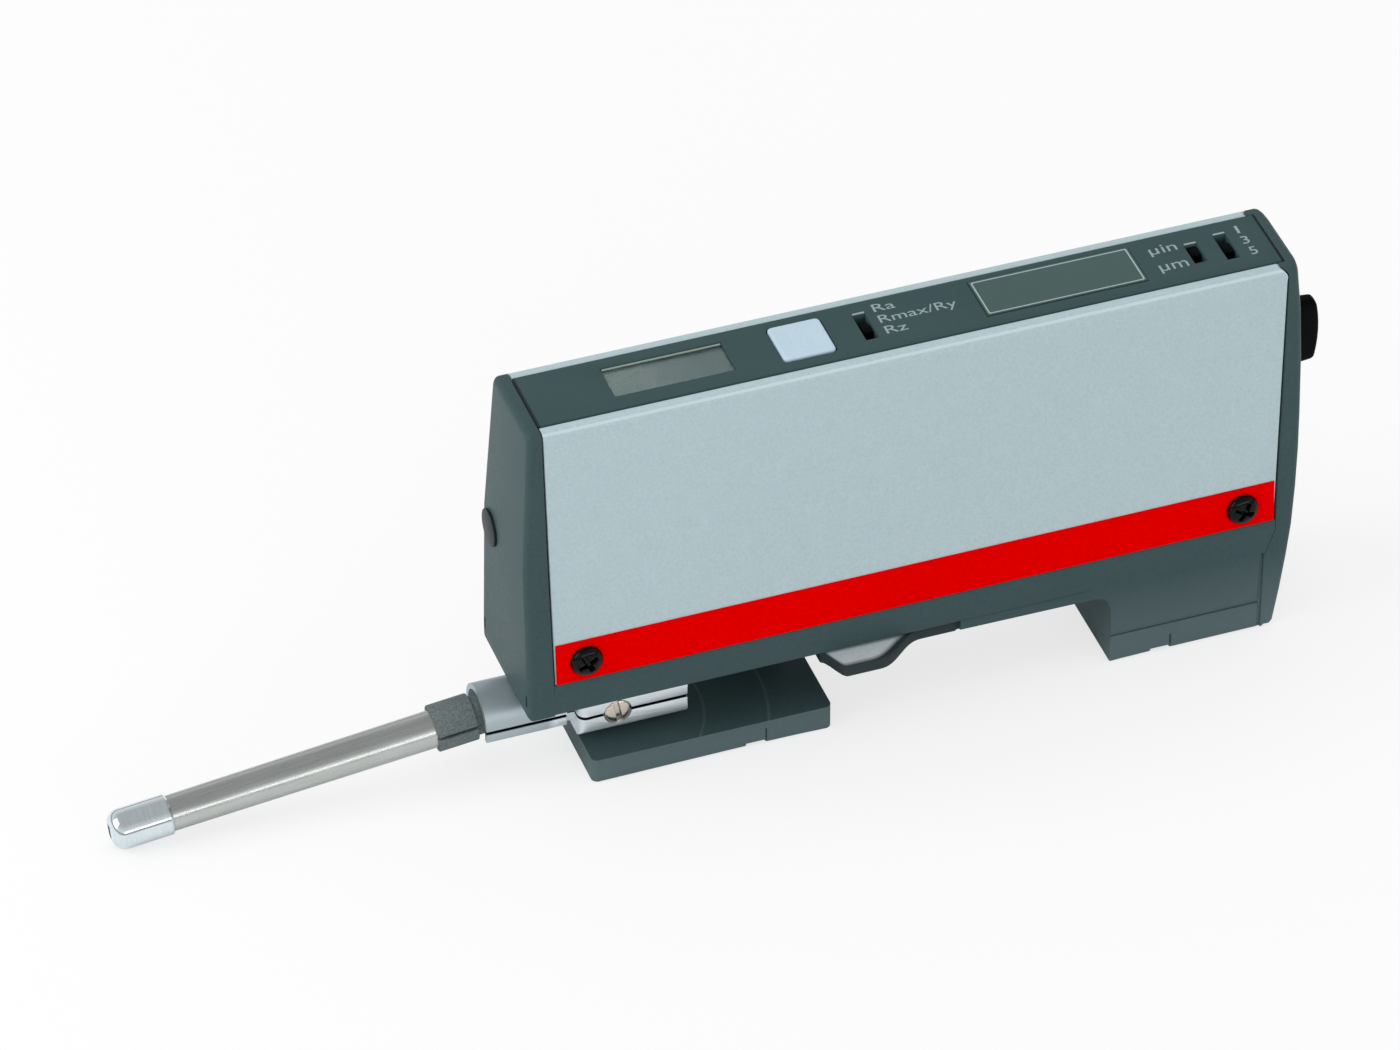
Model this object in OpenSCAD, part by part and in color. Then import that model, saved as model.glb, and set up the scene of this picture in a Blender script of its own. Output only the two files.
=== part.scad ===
// Pocket surface roughness tester: a cast housing on two feet with a swivelling stylus probe.
// Millimetres, +Z up, +X from the front end to the rear end.
// The origin is on the ground at the middle of the front foot's sole.

/* [Body] */
// Length of the body from end wall to end wall
body_l = 142; // [138:0.5:160]
// Width of the body at its foot
body_w = 25; // [25:0.1:30]
// Width of the body at its top
top_w = 18.5; // [18.2:0.1:19.5]
// Height of the end walls above the ground
body_h = 76.4; // [76:0.1:90]
// Height of the body's underside above the ground
floor_z = 16.8; // [16.4:0.1:20]
// Thickness of the casting's floor
floor_t = 2; // [1.5:0.1:2.2]
// Thickness of the casting's side walls
wall_t = 2.2; // [1.8:0.1:2.6]
// Height of the bare band between the underside and the covers
band_h = 6.9; // [6:0.1:8]
// Thickness of the front end wall
front_t = 4.7; // [4.4:0.1:5.4]
// Thickness of the rear end wall
rear_t = 4.3; // [4:0.1:5]
// Rounding along the edges of the end walls
edge_r = 1; // [0.8:0.1:1.8]
// Rounding of the end walls' top corners
top_r = 1.3; // [1:0.1:2.4]
// How far the top of the front end leans back
front_rake = 1.6; // [0.4:0.1:2]
// Height at which the front end starts to lean back
rake_z = 48; // [44:1:56]
// How far the rear end sweeps in at the ground
rear_tuck = 3.8; // [3:0.1:4.5]
// How far the rear end leans in at the top
rear_rake = 1.2; // [0.4:0.1:1.6]
// Breadth of the crowned edge round the rear end
crown_w = 4; // [2:0.1:4.4]
// Drop of that crowned edge
crown_h = 1.4; // [1:0.1:1.8]
// Breadth of that edge along the top
crown_top = 1.1; // [0.8:0.1:2]

/* [Feet] */
// Start of the front foot plate behind the front end
foot_x = 11.4; // [10:0.1:13]
// Length of the front foot plate
foot_l = 44; // [43:0.1:46]
// Thickness of the front foot plate
foot_t = 4.8; // [4:0.1:5]
// Rounding of the foot plate's corners in plan
foot_r = 1.2; // [1:0.1:4]
// Length of the web that carries the foot plate
web_l = 16; // [12:0.5:17]
// Thickness of that web
web_t = 4.9; // [4:0.1:5]
// Start of the rear foot behind the front end
rear_foot_x = 107.1; // [106.9:0.1:110]
// Fillet between the rear foot and the underside
foot_fillet = 3; // [2:0.1:3.4]
// Width of the cross groove in each sole
sole_groove_w = 3.5; // [2:0.1:5]
// Depth of the cross groove in each sole
sole_groove_h = 0.7; // [0.4:0.1:1.2]
// Height of the scribed line round the rear foot
line_z = 5.7; // [4:0.1:8]

/* [Covers] */
// Thickness of the cover sheet
cover_t = 1; // [0.8:0.05:1.2]
// Gap between a cover and the end walls
cover_gap = 0.25; // [0.1:0.05:0.4]
// Rounding of the fold between a cover and its lip
bend_r = 1.2; // [1.15:0.05:1.8]
// Rounding of the covers' upper rear corner
cover_r = 2; // [1.5:0.1:5]
// Height of the stripe
stripe_h = 8.3; // [7:0.1:9]
// Thickness of the stripe film
stripe_t = 0.15; // [0.1:0.01:0.3]
// Front screw behind the front end
screw_front = 10.5; // [9.5:0.1:11]
// Rear screw ahead of the rear end
screw_rear = 10.7; // [10:0.1:11.5]
// Height of the screws above the covers' lower edge
screw_up = 4.2; // [3.5:0.1:5]
// Diameter of the screw heads
screw_head_d = 5.8; // [5:0.1:6.4]
// Height of the screw heads
screw_head_h = 1.5; // [1:0.1:2]
// Diameter of the screw shanks
screw_d = 2.9; // [2.4:0.1:3.2]

/* [Top panel] */
// Width of the raised strip between the lips
panel_w = 13.8; // [13.4:0.1:14]
// How far the strip stands above the end walls
panel_up = 0.2; // [0:0.05:0.5]
// Thickness of the strip
panel_t = 3.4; // [3.2:0.1:3.6]
// Thickness of the flange under the lips
flange_t = 1.5; // [1.2:0.1:1.6]
// Length of the display window
window_l = 21.5; // [18:0.1:24]
// Width of the display window
window_w = 7.8; // [6:0.1:8.4]
// Middle of the display window behind the front end
window_x = 29.9; // [28:0.1:33]
// Length of the run button
button_l = 9.4; // [8:0.1:10]
// Width of the run button
button_w = 9.3; // [8:0.1:9.6]
// Middle of the run button behind the front end
button_x = 53.7; // [52:0.1:55]
// Length of the badge plate
badge_l = 29.3; // [24:0.1:32]
// Width of the badge plate
badge_w = 9.8; // [8:0.1:10.4]
// Middle of the badge plate ahead of the rear end
badge_back = 41.5; // [40:0.1:44]
// Thickness of the badge plate
badge_t = 0.35; // [0.2:0.05:0.6]
// Width of the switch slots
slot_w = 2.2; // [1.8:0.1:2.6]
// Length of the slots of the three-way switches
slot_l = 6.8; // [6:0.1:7.4]
// Length of the slot of the two-way switch
short_slot_l = 5; // [4.6:0.1:6]
// Parameter switch behind the front end
parameter_x = 65.3; // [64:0.1:67]
// Unit switch ahead of the rear end
unit_back = 16.3; // [16:0.1:18]
// Length switch ahead of the rear end
length_back = 10.6; // [10:0.1:10.8]

/* [Probe] */
// Swivel axis behind the front end
swivel_x = 14.4; // [14:0.1:14.8]
// Sideways place of the probe's middle plane
probe_y = -0.5; // [-0.8:0.1:0.3]
// Traverse of the carriage
traverse = 5; // [3:0.1:5]
// Radius of the holder's hood
hood_r = 5.6; // [5.2:0.1:5.9]
// Wall of the hood
hood_t = 1; // [0.8:0.1:1.1]
// How far the hood reaches ahead of the front end
hood_out = 5.6; // [5:0.1:7]
// Length of the holder's block
block_l = 19.8; // [18:0.1:20]
// Width of the holder's block
block_w = 15; // [14:0.1:15.4]
// Height of the holder's block
block_h = 8.8; // [8:0.1:9]
// Height of the slit between the holder's halves
slit = 0.5; // [0.3:0.05:0.6]
// Probe pivot behind the front end
pitch_x = 4; // [3:0.1:4.2]
// Length of the probe from its pivot to the nose
probe_l = 76.2; // [70:0.1:76.4]
// Diameter of the collar
collar_d = 8.4; // [7.8:0.1:8.8]
// Length of the collar
collar_l = 7.2; // [6:0.1:9]
// Diameter of the tube at the collar
tube_d = 6.7; // [6.4:0.1:7]
// Diameter of the tube at the nose
tube_tip_d = 6.3; // [6:0.1:6.6]
// Diameter of the nose
nose_d = 7.2; // [6.8:0.1:7.4]
// Length of the nose
nose_l = 10.9; // [9:0.1:13]
// Rounding of the nose
nose_r = 2.3; // [1:0.1:2.6]
// Width of the slot in the nose
nose_slot = 1.2; // [1:0.1:1.6]
// Diameter of the core that the collar and tube sit on
core_d = 5.1; // [4.6:0.1:5.2]

/* [Ends] */
// Diameter of the plug in the front end wall
plug_d = 6.8; // [5:0.1:7]
// Height of the plug
plug_z = 45.4; // [42:0.1:48]
// Plug's middle in from the body's far side
plug_side = 5.7; // [5.5:0.1:8]
// Height of the power button at its foot
power_h = 13.8; // [12:0.1:15]
// Width of the power button at its foot
power_w = 4.4; // [4:0.1:6]
// How far the power button stands out
power_out = 7; // [5:0.1:8]
// Power button's middle below the top of the end wall
power_down = 21.6; // [18:0.1:24]

/* [Hidden] */
$fn = 64;

// Clearances
run_fit = 0.05;
press_fit = 0.01;
seat_gap = 0.1;
slide_gap = 0.25;
sink = 0.5;

// Outline of the body in cross-section
shoulder_up = 4.7;
shoulder_z = floor_z + shoulder_up;
side_slope = (body_w - top_w) / 2 / (body_h - shoulder_z);
side_a = atan(side_slope);
edge_n = 4;
corner_n = 5;
sole_r = 0.6;

// Lean of the end walls' inner faces, and the tuck of the rear end
front_lean = 0.6;
rear_lean = 1.6;
tuck_down = 1.8;
tuck_low = floor_z - tuck_down;
rear_swell = 0.7;
sweep_z = body_h * 0.59;
rear_rake_z = body_h * 0.745;

// Base channel, its rails and the deeper edge behind the finger tab
band_inset = 0.06;
base_half = body_w / 2 - band_inset;
cover_z = floor_z + band_h;
rail_h = 1.9;
rail_gap = 0.15;
cover_in = cover_t + rail_gap;
floor_top = floor_z + floor_t;
drop_x = 79;
drop_h = 1.7;
edge_chamfer = 0.6;
foot_mid = foot_x + foot_l / 2;
web_inset = 2.4;
web_end = foot_x + foot_l - web_inset;

// Scribed lines and notches
line_w = 0.5;
line_deep = 0.35;
foot_groove_at = 28.1;
rear_groove_at = 7.9;
mark_w = 0.35;
mark_h = 3.2;
root_deep = 2.7;
root_step = 0.2;
foot_lap = 0.9;
rear_root_in = rear_tuck + root_deep;
end_line_in = rear_root_in + root_step;
notch_w = 0.7;
notch_h = 2.6;

// Covers, lips and screws
cover_inset = 0.05;
lip_down = 0.05;
lip_z = body_h - lip_down;
lip_gap = 0.15;
lip_in = panel_w / 2 + lip_gap;
screw_z = cover_z + screw_up;
screw_l = 2.4;
boss_t = 2.24;
boss_in = half_w(screw_z) - cover_in - boss_t;
boss_l = 9.4;
boss_h = 9.3;
recess_w = 0.7;

// Top panel
panel_z = body_h + panel_up;
panel_under = panel_z - panel_t;
flange_gap = 0.55;
flange_half = half_w(lip_z) - cover_t - flange_gap;
badge_x = body_l - badge_back;
unit_x = body_l - unit_back;
length_x = body_l - length_back;
window_y = 0.4;
window_ledge = 0.6;
window_sunk = 0.3;
ledge_t = 0.4;
button_y = 0.05;
button_up = 0.4;
button_travel = 0.8;
button_flange = 0.8;
button_lip_l = 1.8;
button_lip_w = 1.4;
button_r = 0.8;
run_switch_w = 6.4;
plunger_d = 3.2;
plunger_h = 0.5;
badge_y = 0.6;
badge_up = 0.05;
knob_w = slot_w - 2 * slide_gap;
knob_l = 2.6;
knob_down = 0.3;
ledge_l = 3.4;
ledge_h = 3;
ledge_half = 5;

// Battery and its door
battery_l = 48.5;
battery_w = 17;
battery_h = 26.2;
battery_r = 1.5;
battery_x = 55.2;
hatch_gap = 0.35;
hatch_w = battery_w + 2 * hatch_gap;
door_t = 2.4;
door_gap = 0.3;
door_half = base_half - wall_t - seat_gap;
door_in = 1;
door_broad = base_half - door_in;
door_step_x = drop_x - hatch_gap;
door_top = floor_z - seat_gap;
tab_x = web_end + door_gap;
tab_rise = 3.3;
tab_crest = 6.2;
tab_fall = 9.2;
tab_l = tab_rise + tab_crest + tab_fall;
tab_out = 5.15;
tab_n = 30;
snap_d = 5.7;
snap_l = 2.6;
clip_t = 1.3;
clip_edge = 1;
clip_low = 3;

// Electronics
rib_in = 1.5;
rib_out = 0.9;
rib_l = 3.8;
groove_in = 2;
board_t = 1.6;
top_board_t = 1.3;
top_board_w = 12.4;
top_board_drop = 6.3;
top_board_front = 3;
top_board_back = 1.5;
top_board_z = panel_under - top_board_drop;
top_board_top = top_board_z + top_board_t;
part_top = panel_under - seat_gap;
main_board_y = 5;
main_board_gap = 2.3;
main_board_z = door_top + battery_h + main_board_gap;
main_board_h = top_board_z - main_board_z;
main_board_x = front_t + rib_l - groove_in + seat_gap;
main_board_l = body_l - rear_t - rib_l + groove_in - seat_gap - main_board_x;
display_edge = 2;
display_side = 1.3;
chip_t = 1.6;
switch_l = 5;
switch_w = 11.6;
channel_h = 1.5;

// Traverse drive
carriage_l = 15;
carriage_side = 0.5;
carriage_w = 2 * (boss_in - carriage_side - abs(probe_y));
carriage_gap = 0.3;
carriage_z = floor_top + carriage_gap;
carriage_h = 7.1;
carriage_top = carriage_z + carriage_h;
rod_d = 3;
rod_edge = 2.2;
rod_reach = carriage_w / 2 - rod_edge;
rod_up = 3.7;
rod_z = floor_top + rod_up;
rod_in = 2.3;
post_gap = 0.9;
post_d = 2 * (rod_reach - rod_d / 2 - post_gap);
post_step = 1;
post_top_d = post_d - 2 * post_step;
post_slot_gap = 0.6;
washer_lap = 1.5;
washer_d = post_d + 2 * washer_lap;
washer_t = 0.9;
bulkhead_x = 48;
bulkhead_t = 3;
bulkhead_half = 8;
gearbox_l = 10;
gearbox_gap = 0.7;
gearbox_neck = 2 * (rod_reach - rod_d / 2 - gearbox_gap);
gearbox_wall = 1.2;
gearbox_w = 14;
gearbox_step_up = 7.2;
gearbox_step = floor_top + gearbox_step_up;
gearbox_h = 24.2;
gearbox_top = floor_top + gearbox_h;
pull_d = gearbox_neck - 2 * gearbox_wall;
pull_up = 4;
pull_z = floor_top + pull_up;
pull_l = 20;
pull_sink = 2.5;
motor_d = 13;
motor_l = 23;
motor_nub = 1.5;
motor_up = 17.2;
motor_z = floor_top + motor_up;

// Holder
hood_gap = 0.4;
split_z = floor_z - hood_r - hood_gap;
upper_z = split_z + slit / 2;
lower_z = split_z - slit / 2;
rail_drop = 2.1;
hood_end = 9;
neck_l = 2;
neck_half = 4.6;
neck_sink = 0.4;
block_x = hood_end + neck_l - neck_sink;
block_top = split_z + block_h / 2;
block_low = split_z - block_h / 2;
block_r = 1.6;
block_edge = 2.4;
rib_half = 4;
rib_gap = 3.5;
rib_back = 3;
rail_side = 0.3;
rail_end = 0.8;
clamp_x = 7;
clamp_head_d = 4.9;
clamp_head_h = 1.1;
clamp_d = 3;
clamp_l = 3.8;
clamp_slot = 0.9;
clamp_slot_h = 0.6;
clamp_up = 0.2;
clamp_turn = 80;

// Probe
pitch_up = 1.1;
pitch_z = split_z + pitch_up;
pitch_d = 1.6;
pin_skin = 0.4;
pitch_half = hood_r - pin_skin;
tip_gap = 0.1;
droop = asin((pitch_z - nose_d / 2 - tip_gap) / (probe_l - nose_r));
core_back = 2.6;
collar_gap = 0.9;
collar_at = pitch_x + hood_out + collar_gap;
collar_neck_l = 3.9;
neck_at = collar_at - collar_neck_l;
collar_wall = 0.95;
collar_neck_d = core_d + 2 * collar_wall;
collar_end = collar_at + collar_l;
core_lap = 2.4;
core_end = collar_end + core_lap;
nose_at = probe_l - nose_l;
tube_bore_d = core_d + 2 * run_fit;
spigot_l = 3;
slot_deep = 2.6;
slot_top = 1.6;
stylus_w = 0.7;
stylus_l = 1.4;
stylus_cone = 1.3;
stylus_tip_r = 0.1;
stylus_back = 1.9;
stylus_at = probe_l - stylus_back;
stylus_out = 0.06;
pickup_gap = 0.3;
pickup_d = tube_bore_d - 2 * pickup_gap;
pickup_l = 15;
collar_slit = 0.6;
slit_floor = 0.7;
nose_chamfer = 0.5;

// Rear button
power_travel = 1.3;
power_sunk = 0.8;
power_stem_d = 3.4;
switch_gap = 0.3;
power_stem_in = rear_t + rib_l - power_travel;
power_z = body_h - power_down;
power_taper = 0.45;
power_dome = 0.7;
power_swell = 0.8;
power_side_n = 5;
power_r = 1.7;
power_well = power_sunk + power_travel + switch_gap;
power_switch_l = 8;
power_switch_half = 3.2;
power_switch_h = 10;
plug_y = body_w / 2 - plug_side;
plug_up = 0.5;
plug_wall = 1;
plug_stub_d = plug_d - 2 * plug_wall;
plug_stub_l = 2;

// Half the body's width at height z: upright to the shoulder, then sloping in
function half_w(z) = body_w / 2 - max(0, z - shoulder_z) * side_slope;

// Points along a round stretch
function arc(c, r, a0, a1, n) =
  [for (i = [0:n]) let (a = a0 + (a1 - a0) * i / n) c + r * [cos(a), sin(a)]];

function backwards(v) = [for (i = [len(v) - 1:-1:0]) v[i]];

// Share of the way from the covers' foot to the top
function lean(z) = max(0, z - cover_z) / (body_h - cover_z);

// Outer and inner faces of the end walls at height z
function front_out(z) = front_rake * max(0, z - rake_z) / (body_h - rake_z);
function front_in(z) = front_t - front_lean * lean(z);
function rear_in(z) = body_l - rear_t + rear_lean * lean(z);
function rear_root(z) = z > tuck_low ? rear_in(z) : body_l - rear_root_in;
function rear_out(z) = body_l + rear_swell
  - rear_tuck * pow(max(0, sweep_z - z) / sweep_z, 2)
  - rear_rake * pow(max(0, z - rear_rake_z) / (body_h - rear_rake_z), 2);

// Cross-section of an end wall from zb to the top, drawn in by d, and by e along the top, with side
// points at heights zs
function wall_sides(s, zs, d) = [for (z = zs) [s * (half_w(z) - d), z]];
function wall_top(d, e) =
  [half_w(body_h - e - top_r) - d - top_r / cos(side_a), body_h - e - top_r];
function wall_foot(d, zb) = [half_w(zb) - d - sole_r, zb + d + sole_r];
function flip(p) = [-p[0], p[1]];
function wall_outline(d, e, zb, zs) = concat(
  arc(wall_foot(d, zb), sole_r, -90, 0, 3),
  wall_sides(1, zs, d),
  arc(wall_top(d, e), top_r, side_a, 90, corner_n),
  arc(flip(wall_top(d, e)), top_r, 90, 180 - side_a, corner_n),
  backwards(wall_sides(-1, zs, d)),
  arc(flip(wall_foot(d, zb)), sole_r, 180, 270, 3));

// Outline of the power button, drawn in by d, with n points along each side
function pill_half(d, n) = concat(
  arc([power_w / 2 - power_r, power_r - power_h / 2], power_r - d, -90, 0, 4),
  [for (i = [1:1:n]) [power_w / 2 - d, (power_h - 2 * power_r) * (i / (n + 1) - 0.5)]],
  arc([power_w / 2 - power_r, power_h / 2 - power_r], power_r - d, 0, 90, 4));
function pill(d, n = 0) =
  concat(pill_half(d, n), [for (p = backwards(pill_half(d, n))) flip(p)]);
// How far the button's barrelled face stands out at height z from its middle
function barrel(z) = power_swell * (1 - pow(2 * z / power_h, 2));

// Draws a solid through mirror-symmetric rings of points that follow each other along +X
module loft(rings) {
  n = len(rings[0]);
  last = (len(rings) - 1) * n;
  sides = [for (i = [0:n:last - n], j = [0:n - 1])
    [i + j, i + n + j, i + n + (j + 1) % n, i + (j + 1) % n]];
  first_cap = [for (j = [0:n / 2 - 2]) [j, j + 1, n - 2 - j, n - 1 - j]];
  last_cap = [for (f = first_cap) [for (k = [3:-1:0]) last + f[k]]];
  polyhedron(points = [for (r = rings) each r], faces = concat(sides, first_cap, last_cap));
}

// Moves from the front end's frame to the part's frame
module at_front() {
  translate([-foot_mid, 0, 0]) children();
}

module both_sides() {
  for (s = [0, 1])
    mirror([0, s, 0]) children();
}

// Extrudes a (Y, Z) outline along X, and an (X, Z) outline across Y
module along_x(x0, x1) {
  translate([x0, 0, 0]) rotate([90, 0, 90]) linear_extrude(x1 - x0) children();
}

module across_y(w) {
  rotate([90, 0, 0]) linear_extrude(w, center = true) children();
}

// Box between two corners
module box(a, b) {
  translate(a) cube(b - a);
}

// Upright plate with rounded corners, centred in plan
module slab(l, w, h, r) {
  translate([-l / 2 + r, -w / 2, 0]) cube([l - 2 * r, w, h]);
  translate([-l / 2, -w / 2 + r, 0]) cube([l, w - 2 * r, h]);
  for (x = [-1, 1], y = [-1, 1])
    translate([x * (l / 2 - r), y * (w / 2 - r), 0]) cylinder(h, r, r);
}

// Long round-ended hole along X
module oblong(l, d, h) {
  for (x = [0, l])
    translate([x, 0, 0]) cylinder(h, d / 2, d / 2);
  translate([0, -d / 2, 0]) cube([l, d, h]);
}

// Round bar along X from x0 to x1
module bar_x(x0, x1, d) {
  translate([x0, 0, 0]) rotate([0, 90, 0]) cylinder(x1 - x0, d / 2, d / 2);
}

// Puts children on the outside of the +Y cover at screw height, +Z outwards
module at_screws() {
  for (x = [screw_front, body_l - screw_rear])
    translate([x, half_w(screw_z), screw_z]) rotate([side_a - 90, 0, 0]) children();
}

// Puts children on the probe's axis, +Z towards the nose and +X upwards
module at_probe() {
  at_front() translate([pitch_x, probe_y, pitch_z]) rotate([0, -90 - droop, 0]) children();
}

module front_wall() {
  zs = [shoulder_z, rake_z];
  loft(concat(
    [for (i = [0:edge_n]) let (t = 90 * i / edge_n, d = edge_r * (1 - sin(t)))
      [for (p = wall_outline(d, d, floor_z, zs))
        [front_out(p[1]) + edge_r * (1 - cos(t)), p[0], p[1]]]],
    [[for (p = wall_outline(0, 0, floor_z, zs)) [front_in(p[1]), p[0], p[1]]]]));
}

module rear_wall() {
  zs = concat(
    [tuck_low / 2, tuck_low],
    [for (i = [0:3]) shoulder_z + (sweep_z - shoulder_z) * i / 3],
    [rear_rake_z, (rear_rake_z + body_h) / 2]);
  loft(concat(
    [[for (p = wall_outline(0, 0, band_inset, zs)) [rear_root(p[1]), p[0], p[1]]]],
    [for (i = [edge_n:-1:0]) let (t = 90 * i / edge_n, s = 1 - sin(t))
      [for (p = wall_outline(crown_w * s, crown_top * s, band_inset, zs))
        [rear_out(p[1]) - crown_h * (1 - cos(t)), p[0], p[1]]]]));
}

// Middle of the covers' rounded corner, seen from the side
function cover_corner() =
  [rear_in(lip_z) - cover_gap - cover_r, lip_z + press_fit - cover_r];

// Webs on the rear wall that fill the corners left by the covers' rounded ends
module corner_webs() {
  r = cover_r + cover_gap;
  c = cover_corner();
  x1 = rear_in(lip_z) + sink;
  difference() {
    intersection() {
      along_x(c[0], x1) polygon(wall_outline(0, 0, band_inset, [shoulder_z]));
      across_y(2 * body_w)
        polygon(concat(arc(c, r, 0, 90, 6), [[x1, c[1] + r], [x1, c[1]]]));
    }
    box([c[0] - sink, -lip_in, c[1] - sink], [x1 - sink, lip_in, body_h + sink]);
    box([c[0] - sink, -flange_half - seat_gap, c[1] - sink],
      [x1 - sink, flange_half + seat_gap, panel_under + flange_t + seat_gap]);
  }
}

// Trough with rails that the covers stand on
module base_channel() {
  inner = base_half - wall_t;
  half = [
    [base_half - edge_chamfer, floor_z],
    [base_half, floor_z + edge_chamfer],
    [base_half, shoulder_z],
    [half_w(cover_z) - band_inset, cover_z],
    [half_w(cover_z) - cover_in, cover_z],
    [half_w(cover_z + rail_h) - cover_in, cover_z + rail_h],
    [inner, cover_z + rail_h],
    [inner, floor_top]
  ];
  along_x(front_t - sink, body_l - rear_t + sink)
    polygon(concat(half, [for (p = backwards(half)) flip(p)]));
}

module rear_foot() {
  lip = floor_z - drop_h;
  x0 = rear_foot_x - foot_fillet;
  foot_end = body_l - rear_root_in + foot_lap;
  across_y(2 * base_half)
    polygon(concat(
      [[x0 - sink, floor_top]],
      [[x0 - sink, lip]],
      backwards(arc([x0, lip - foot_fillet], foot_fillet, 0, 90, 6)),
      arc([rear_foot_x + sole_r, sole_r], sole_r, 180, 270, 3),
      [[foot_end, 0], [foot_end, floor_top]]));
  both_sides()
    box([drop_x, base_half - wall_t, lip], [x0, base_half, floor_z + sink]);
}

module front_foot() {
  translate([foot_mid, 0, 0]) slab(foot_l, 2 * base_half, foot_t, foot_r);
  box([web_end - web_l, base_half - web_t, foot_t - sink], [web_end, base_half, floor_z + sink]);
}

// Bosses, ledges and ribs inside the ends, and the bulkhead behind the drive
module inner_castings() {
  boss = [
    [boss_in, cover_z - sink],
    [half_w(cover_z - sink) - cover_in, cover_z - sink],
    [half_w(cover_z + boss_h) - cover_in, cover_z + boss_h],
    [boss_in, cover_z + boss_h]
  ];
  rib_y = [main_board_y - rib_in, main_board_y + board_t + rib_out];
  rib_z = [main_board_z - sink, top_board_z];
  back = rear_in(cover_z) + sink;
  both_sides() {
    along_x(front_t - sink, front_t + boss_l) polygon(boss);
    along_x(body_l - rear_t - boss_l, back) polygon(boss);
  }
  for (x = [[front_t - 2 * sink, front_t + rib_l], [body_l - rear_t - rib_l, back + rear_lean]]) {
    box([x[0], rib_y[0], rib_z[0]], [x[1], rib_y[1], rib_z[1]]);
    box([x[0], -ledge_half, part_top - ledge_h], [x[1], ledge_half, part_top]);
  }
  box([bulkhead_x, -bulkhead_half, floor_top - sink],
    [bulkhead_x + bulkhead_t, bulkhead_half, gearbox_top]);
}

// Holes, bores and slots
module housing_holes() {
  translate([swivel_x, probe_y, floor_z - sink])
    oblong(traverse, post_d + 2 * post_slot_gap, floor_t + 2 * sink);
  box([battery_x - hatch_gap, -hatch_w / 2, floor_z - sink],
    [battery_x + battery_l + hatch_gap, hatch_w / 2, floor_top + sink]);
  for (y = [-rod_reach, rod_reach])
    translate([0, probe_y + y, rod_z])
      bar_x(rod_in, bulkhead_x + rod_in, rod_d + 2 * press_fit);
  both_sides() at_screws()
    translate([0, 0, -cover_in - screw_l])
      cylinder(2 * screw_l, screw_d / 2 + press_fit, screw_d / 2 + press_fit);
  translate([0, plug_y, plug_z])
    bar_x(-sink, plug_stub_l + seat_gap, plug_stub_d + 2 * press_fit);
  translate([0, 0, power_z]) {
    bar_x(body_l - rear_t - sink, body_l, power_stem_d + 2 * run_fit);
    along_x(body_l - power_well, body_l + 2 * rear_swell) polygon(pill(-slide_gap));
  }
  for (x = [front_t + rib_l - groove_in, body_l - rear_t - rib_l - sink])
    box([x, main_board_y - seat_gap, main_board_z - seat_gap],
      [x + groove_in + sink, main_board_y + board_t + seat_gap, top_board_z + sink]);
}

// Cross grooves in the soles and scribed lines on the sides
module housing_marks() {
  grooves = [foot_x + foot_groove_at, rear_foot_x + rear_groove_at];
  end_line = body_l - end_line_in;
  for (x = grooves)
    box([x, -body_w, -sink], [x + sole_groove_w, body_w, sole_groove_h]);
  both_sides() {
    for (x = grooves)
      box([x + sole_groove_w, base_half - line_deep, -sink],
        [x + sole_groove_w + mark_w, body_w, mark_h]);
    box([rear_foot_x - sink, base_half - line_deep, line_z], [end_line, body_w, line_z + line_w]);
    box([end_line, base_half - line_deep, -sink], [end_line + line_w, body_w, floor_z]);
    box([-sink, half_w(0) - edge_r - notch_w, floor_z + notch_h],
      [edge_r / 3, half_w(0) - edge_r, floor_z + 2 * notch_h]);
  }
}

module housing() {
  color("#4e6062") at_front() difference() {
    union() {
      front_wall();
      rear_wall();
      corner_webs();
      base_channel();
      rear_foot();
      front_foot();
      inner_castings();
    }
    housing_holes();
    housing_marks();
  }
}

// Folded sheet for the +Y side
module cover() {
  foot = cover_z + seat_gap;
  bend = [half_w(lip_z - bend_r) - cover_inset - bend_r / cos(side_a), lip_z - bend_r];
  difference() {
    intersection() {
      along_x(0, body_l)
        polygon(concat(
          [[half_w(foot) - cover_inset, foot]],
          arc(bend, bend_r, side_a, 90, corner_n),
          [[lip_in, lip_z], [lip_in, lip_z - cover_t]],
          backwards(arc(bend, bend_r - cover_t, side_a, 90, corner_n)),
          [[half_w(foot) - cover_inset - cover_t / cos(side_a), foot]]));
      across_y(2 * body_w)
        polygon(concat(
          [[front_in(foot) + cover_gap, foot - sink], [rear_in(foot) - cover_gap, foot - sink]],
          arc(cover_corner(), cover_r, 0, 90, 6),
          [[front_in(lip_z) + cover_gap, lip_z + press_fit]]));
    }
    at_screws() cylinder(4 * cover_t, screw_d / 2 + run_fit, screw_d / 2 + run_fit, center = true);
  }
}

module far_cover() {
  color("#b2c4c6") at_front() cover();
}

module near_cover() {
  color("#b2c4c6") at_front() mirror([0, 1, 0]) cover();
}

// Film on the +Y cover
module stripe() {
  z0 = cover_z + 2 * seat_gap;
  z1 = z0 + stripe_h;
  difference() {
    along_x(front_in(cover_z) + cover_gap + seat_gap, rear_in(cover_z) - cover_gap - seat_gap)
      polygon([
        [half_w(z0) - cover_inset, z0],
        [half_w(z0) - cover_inset + stripe_t, z0],
        [half_w(z1) - cover_inset + stripe_t, z1],
        [half_w(z1) - cover_inset, z1]
      ]);
    at_screws() cylinder(4 * cover_t, screw_d / 2 + run_fit, screw_d / 2 + run_fit, center = true);
  }
}

module far_stripe() {
  color("#d50000") at_front() stripe();
}

module near_stripe() {
  color("#d50000") at_front() mirror([0, 1, 0]) stripe();
}

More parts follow.
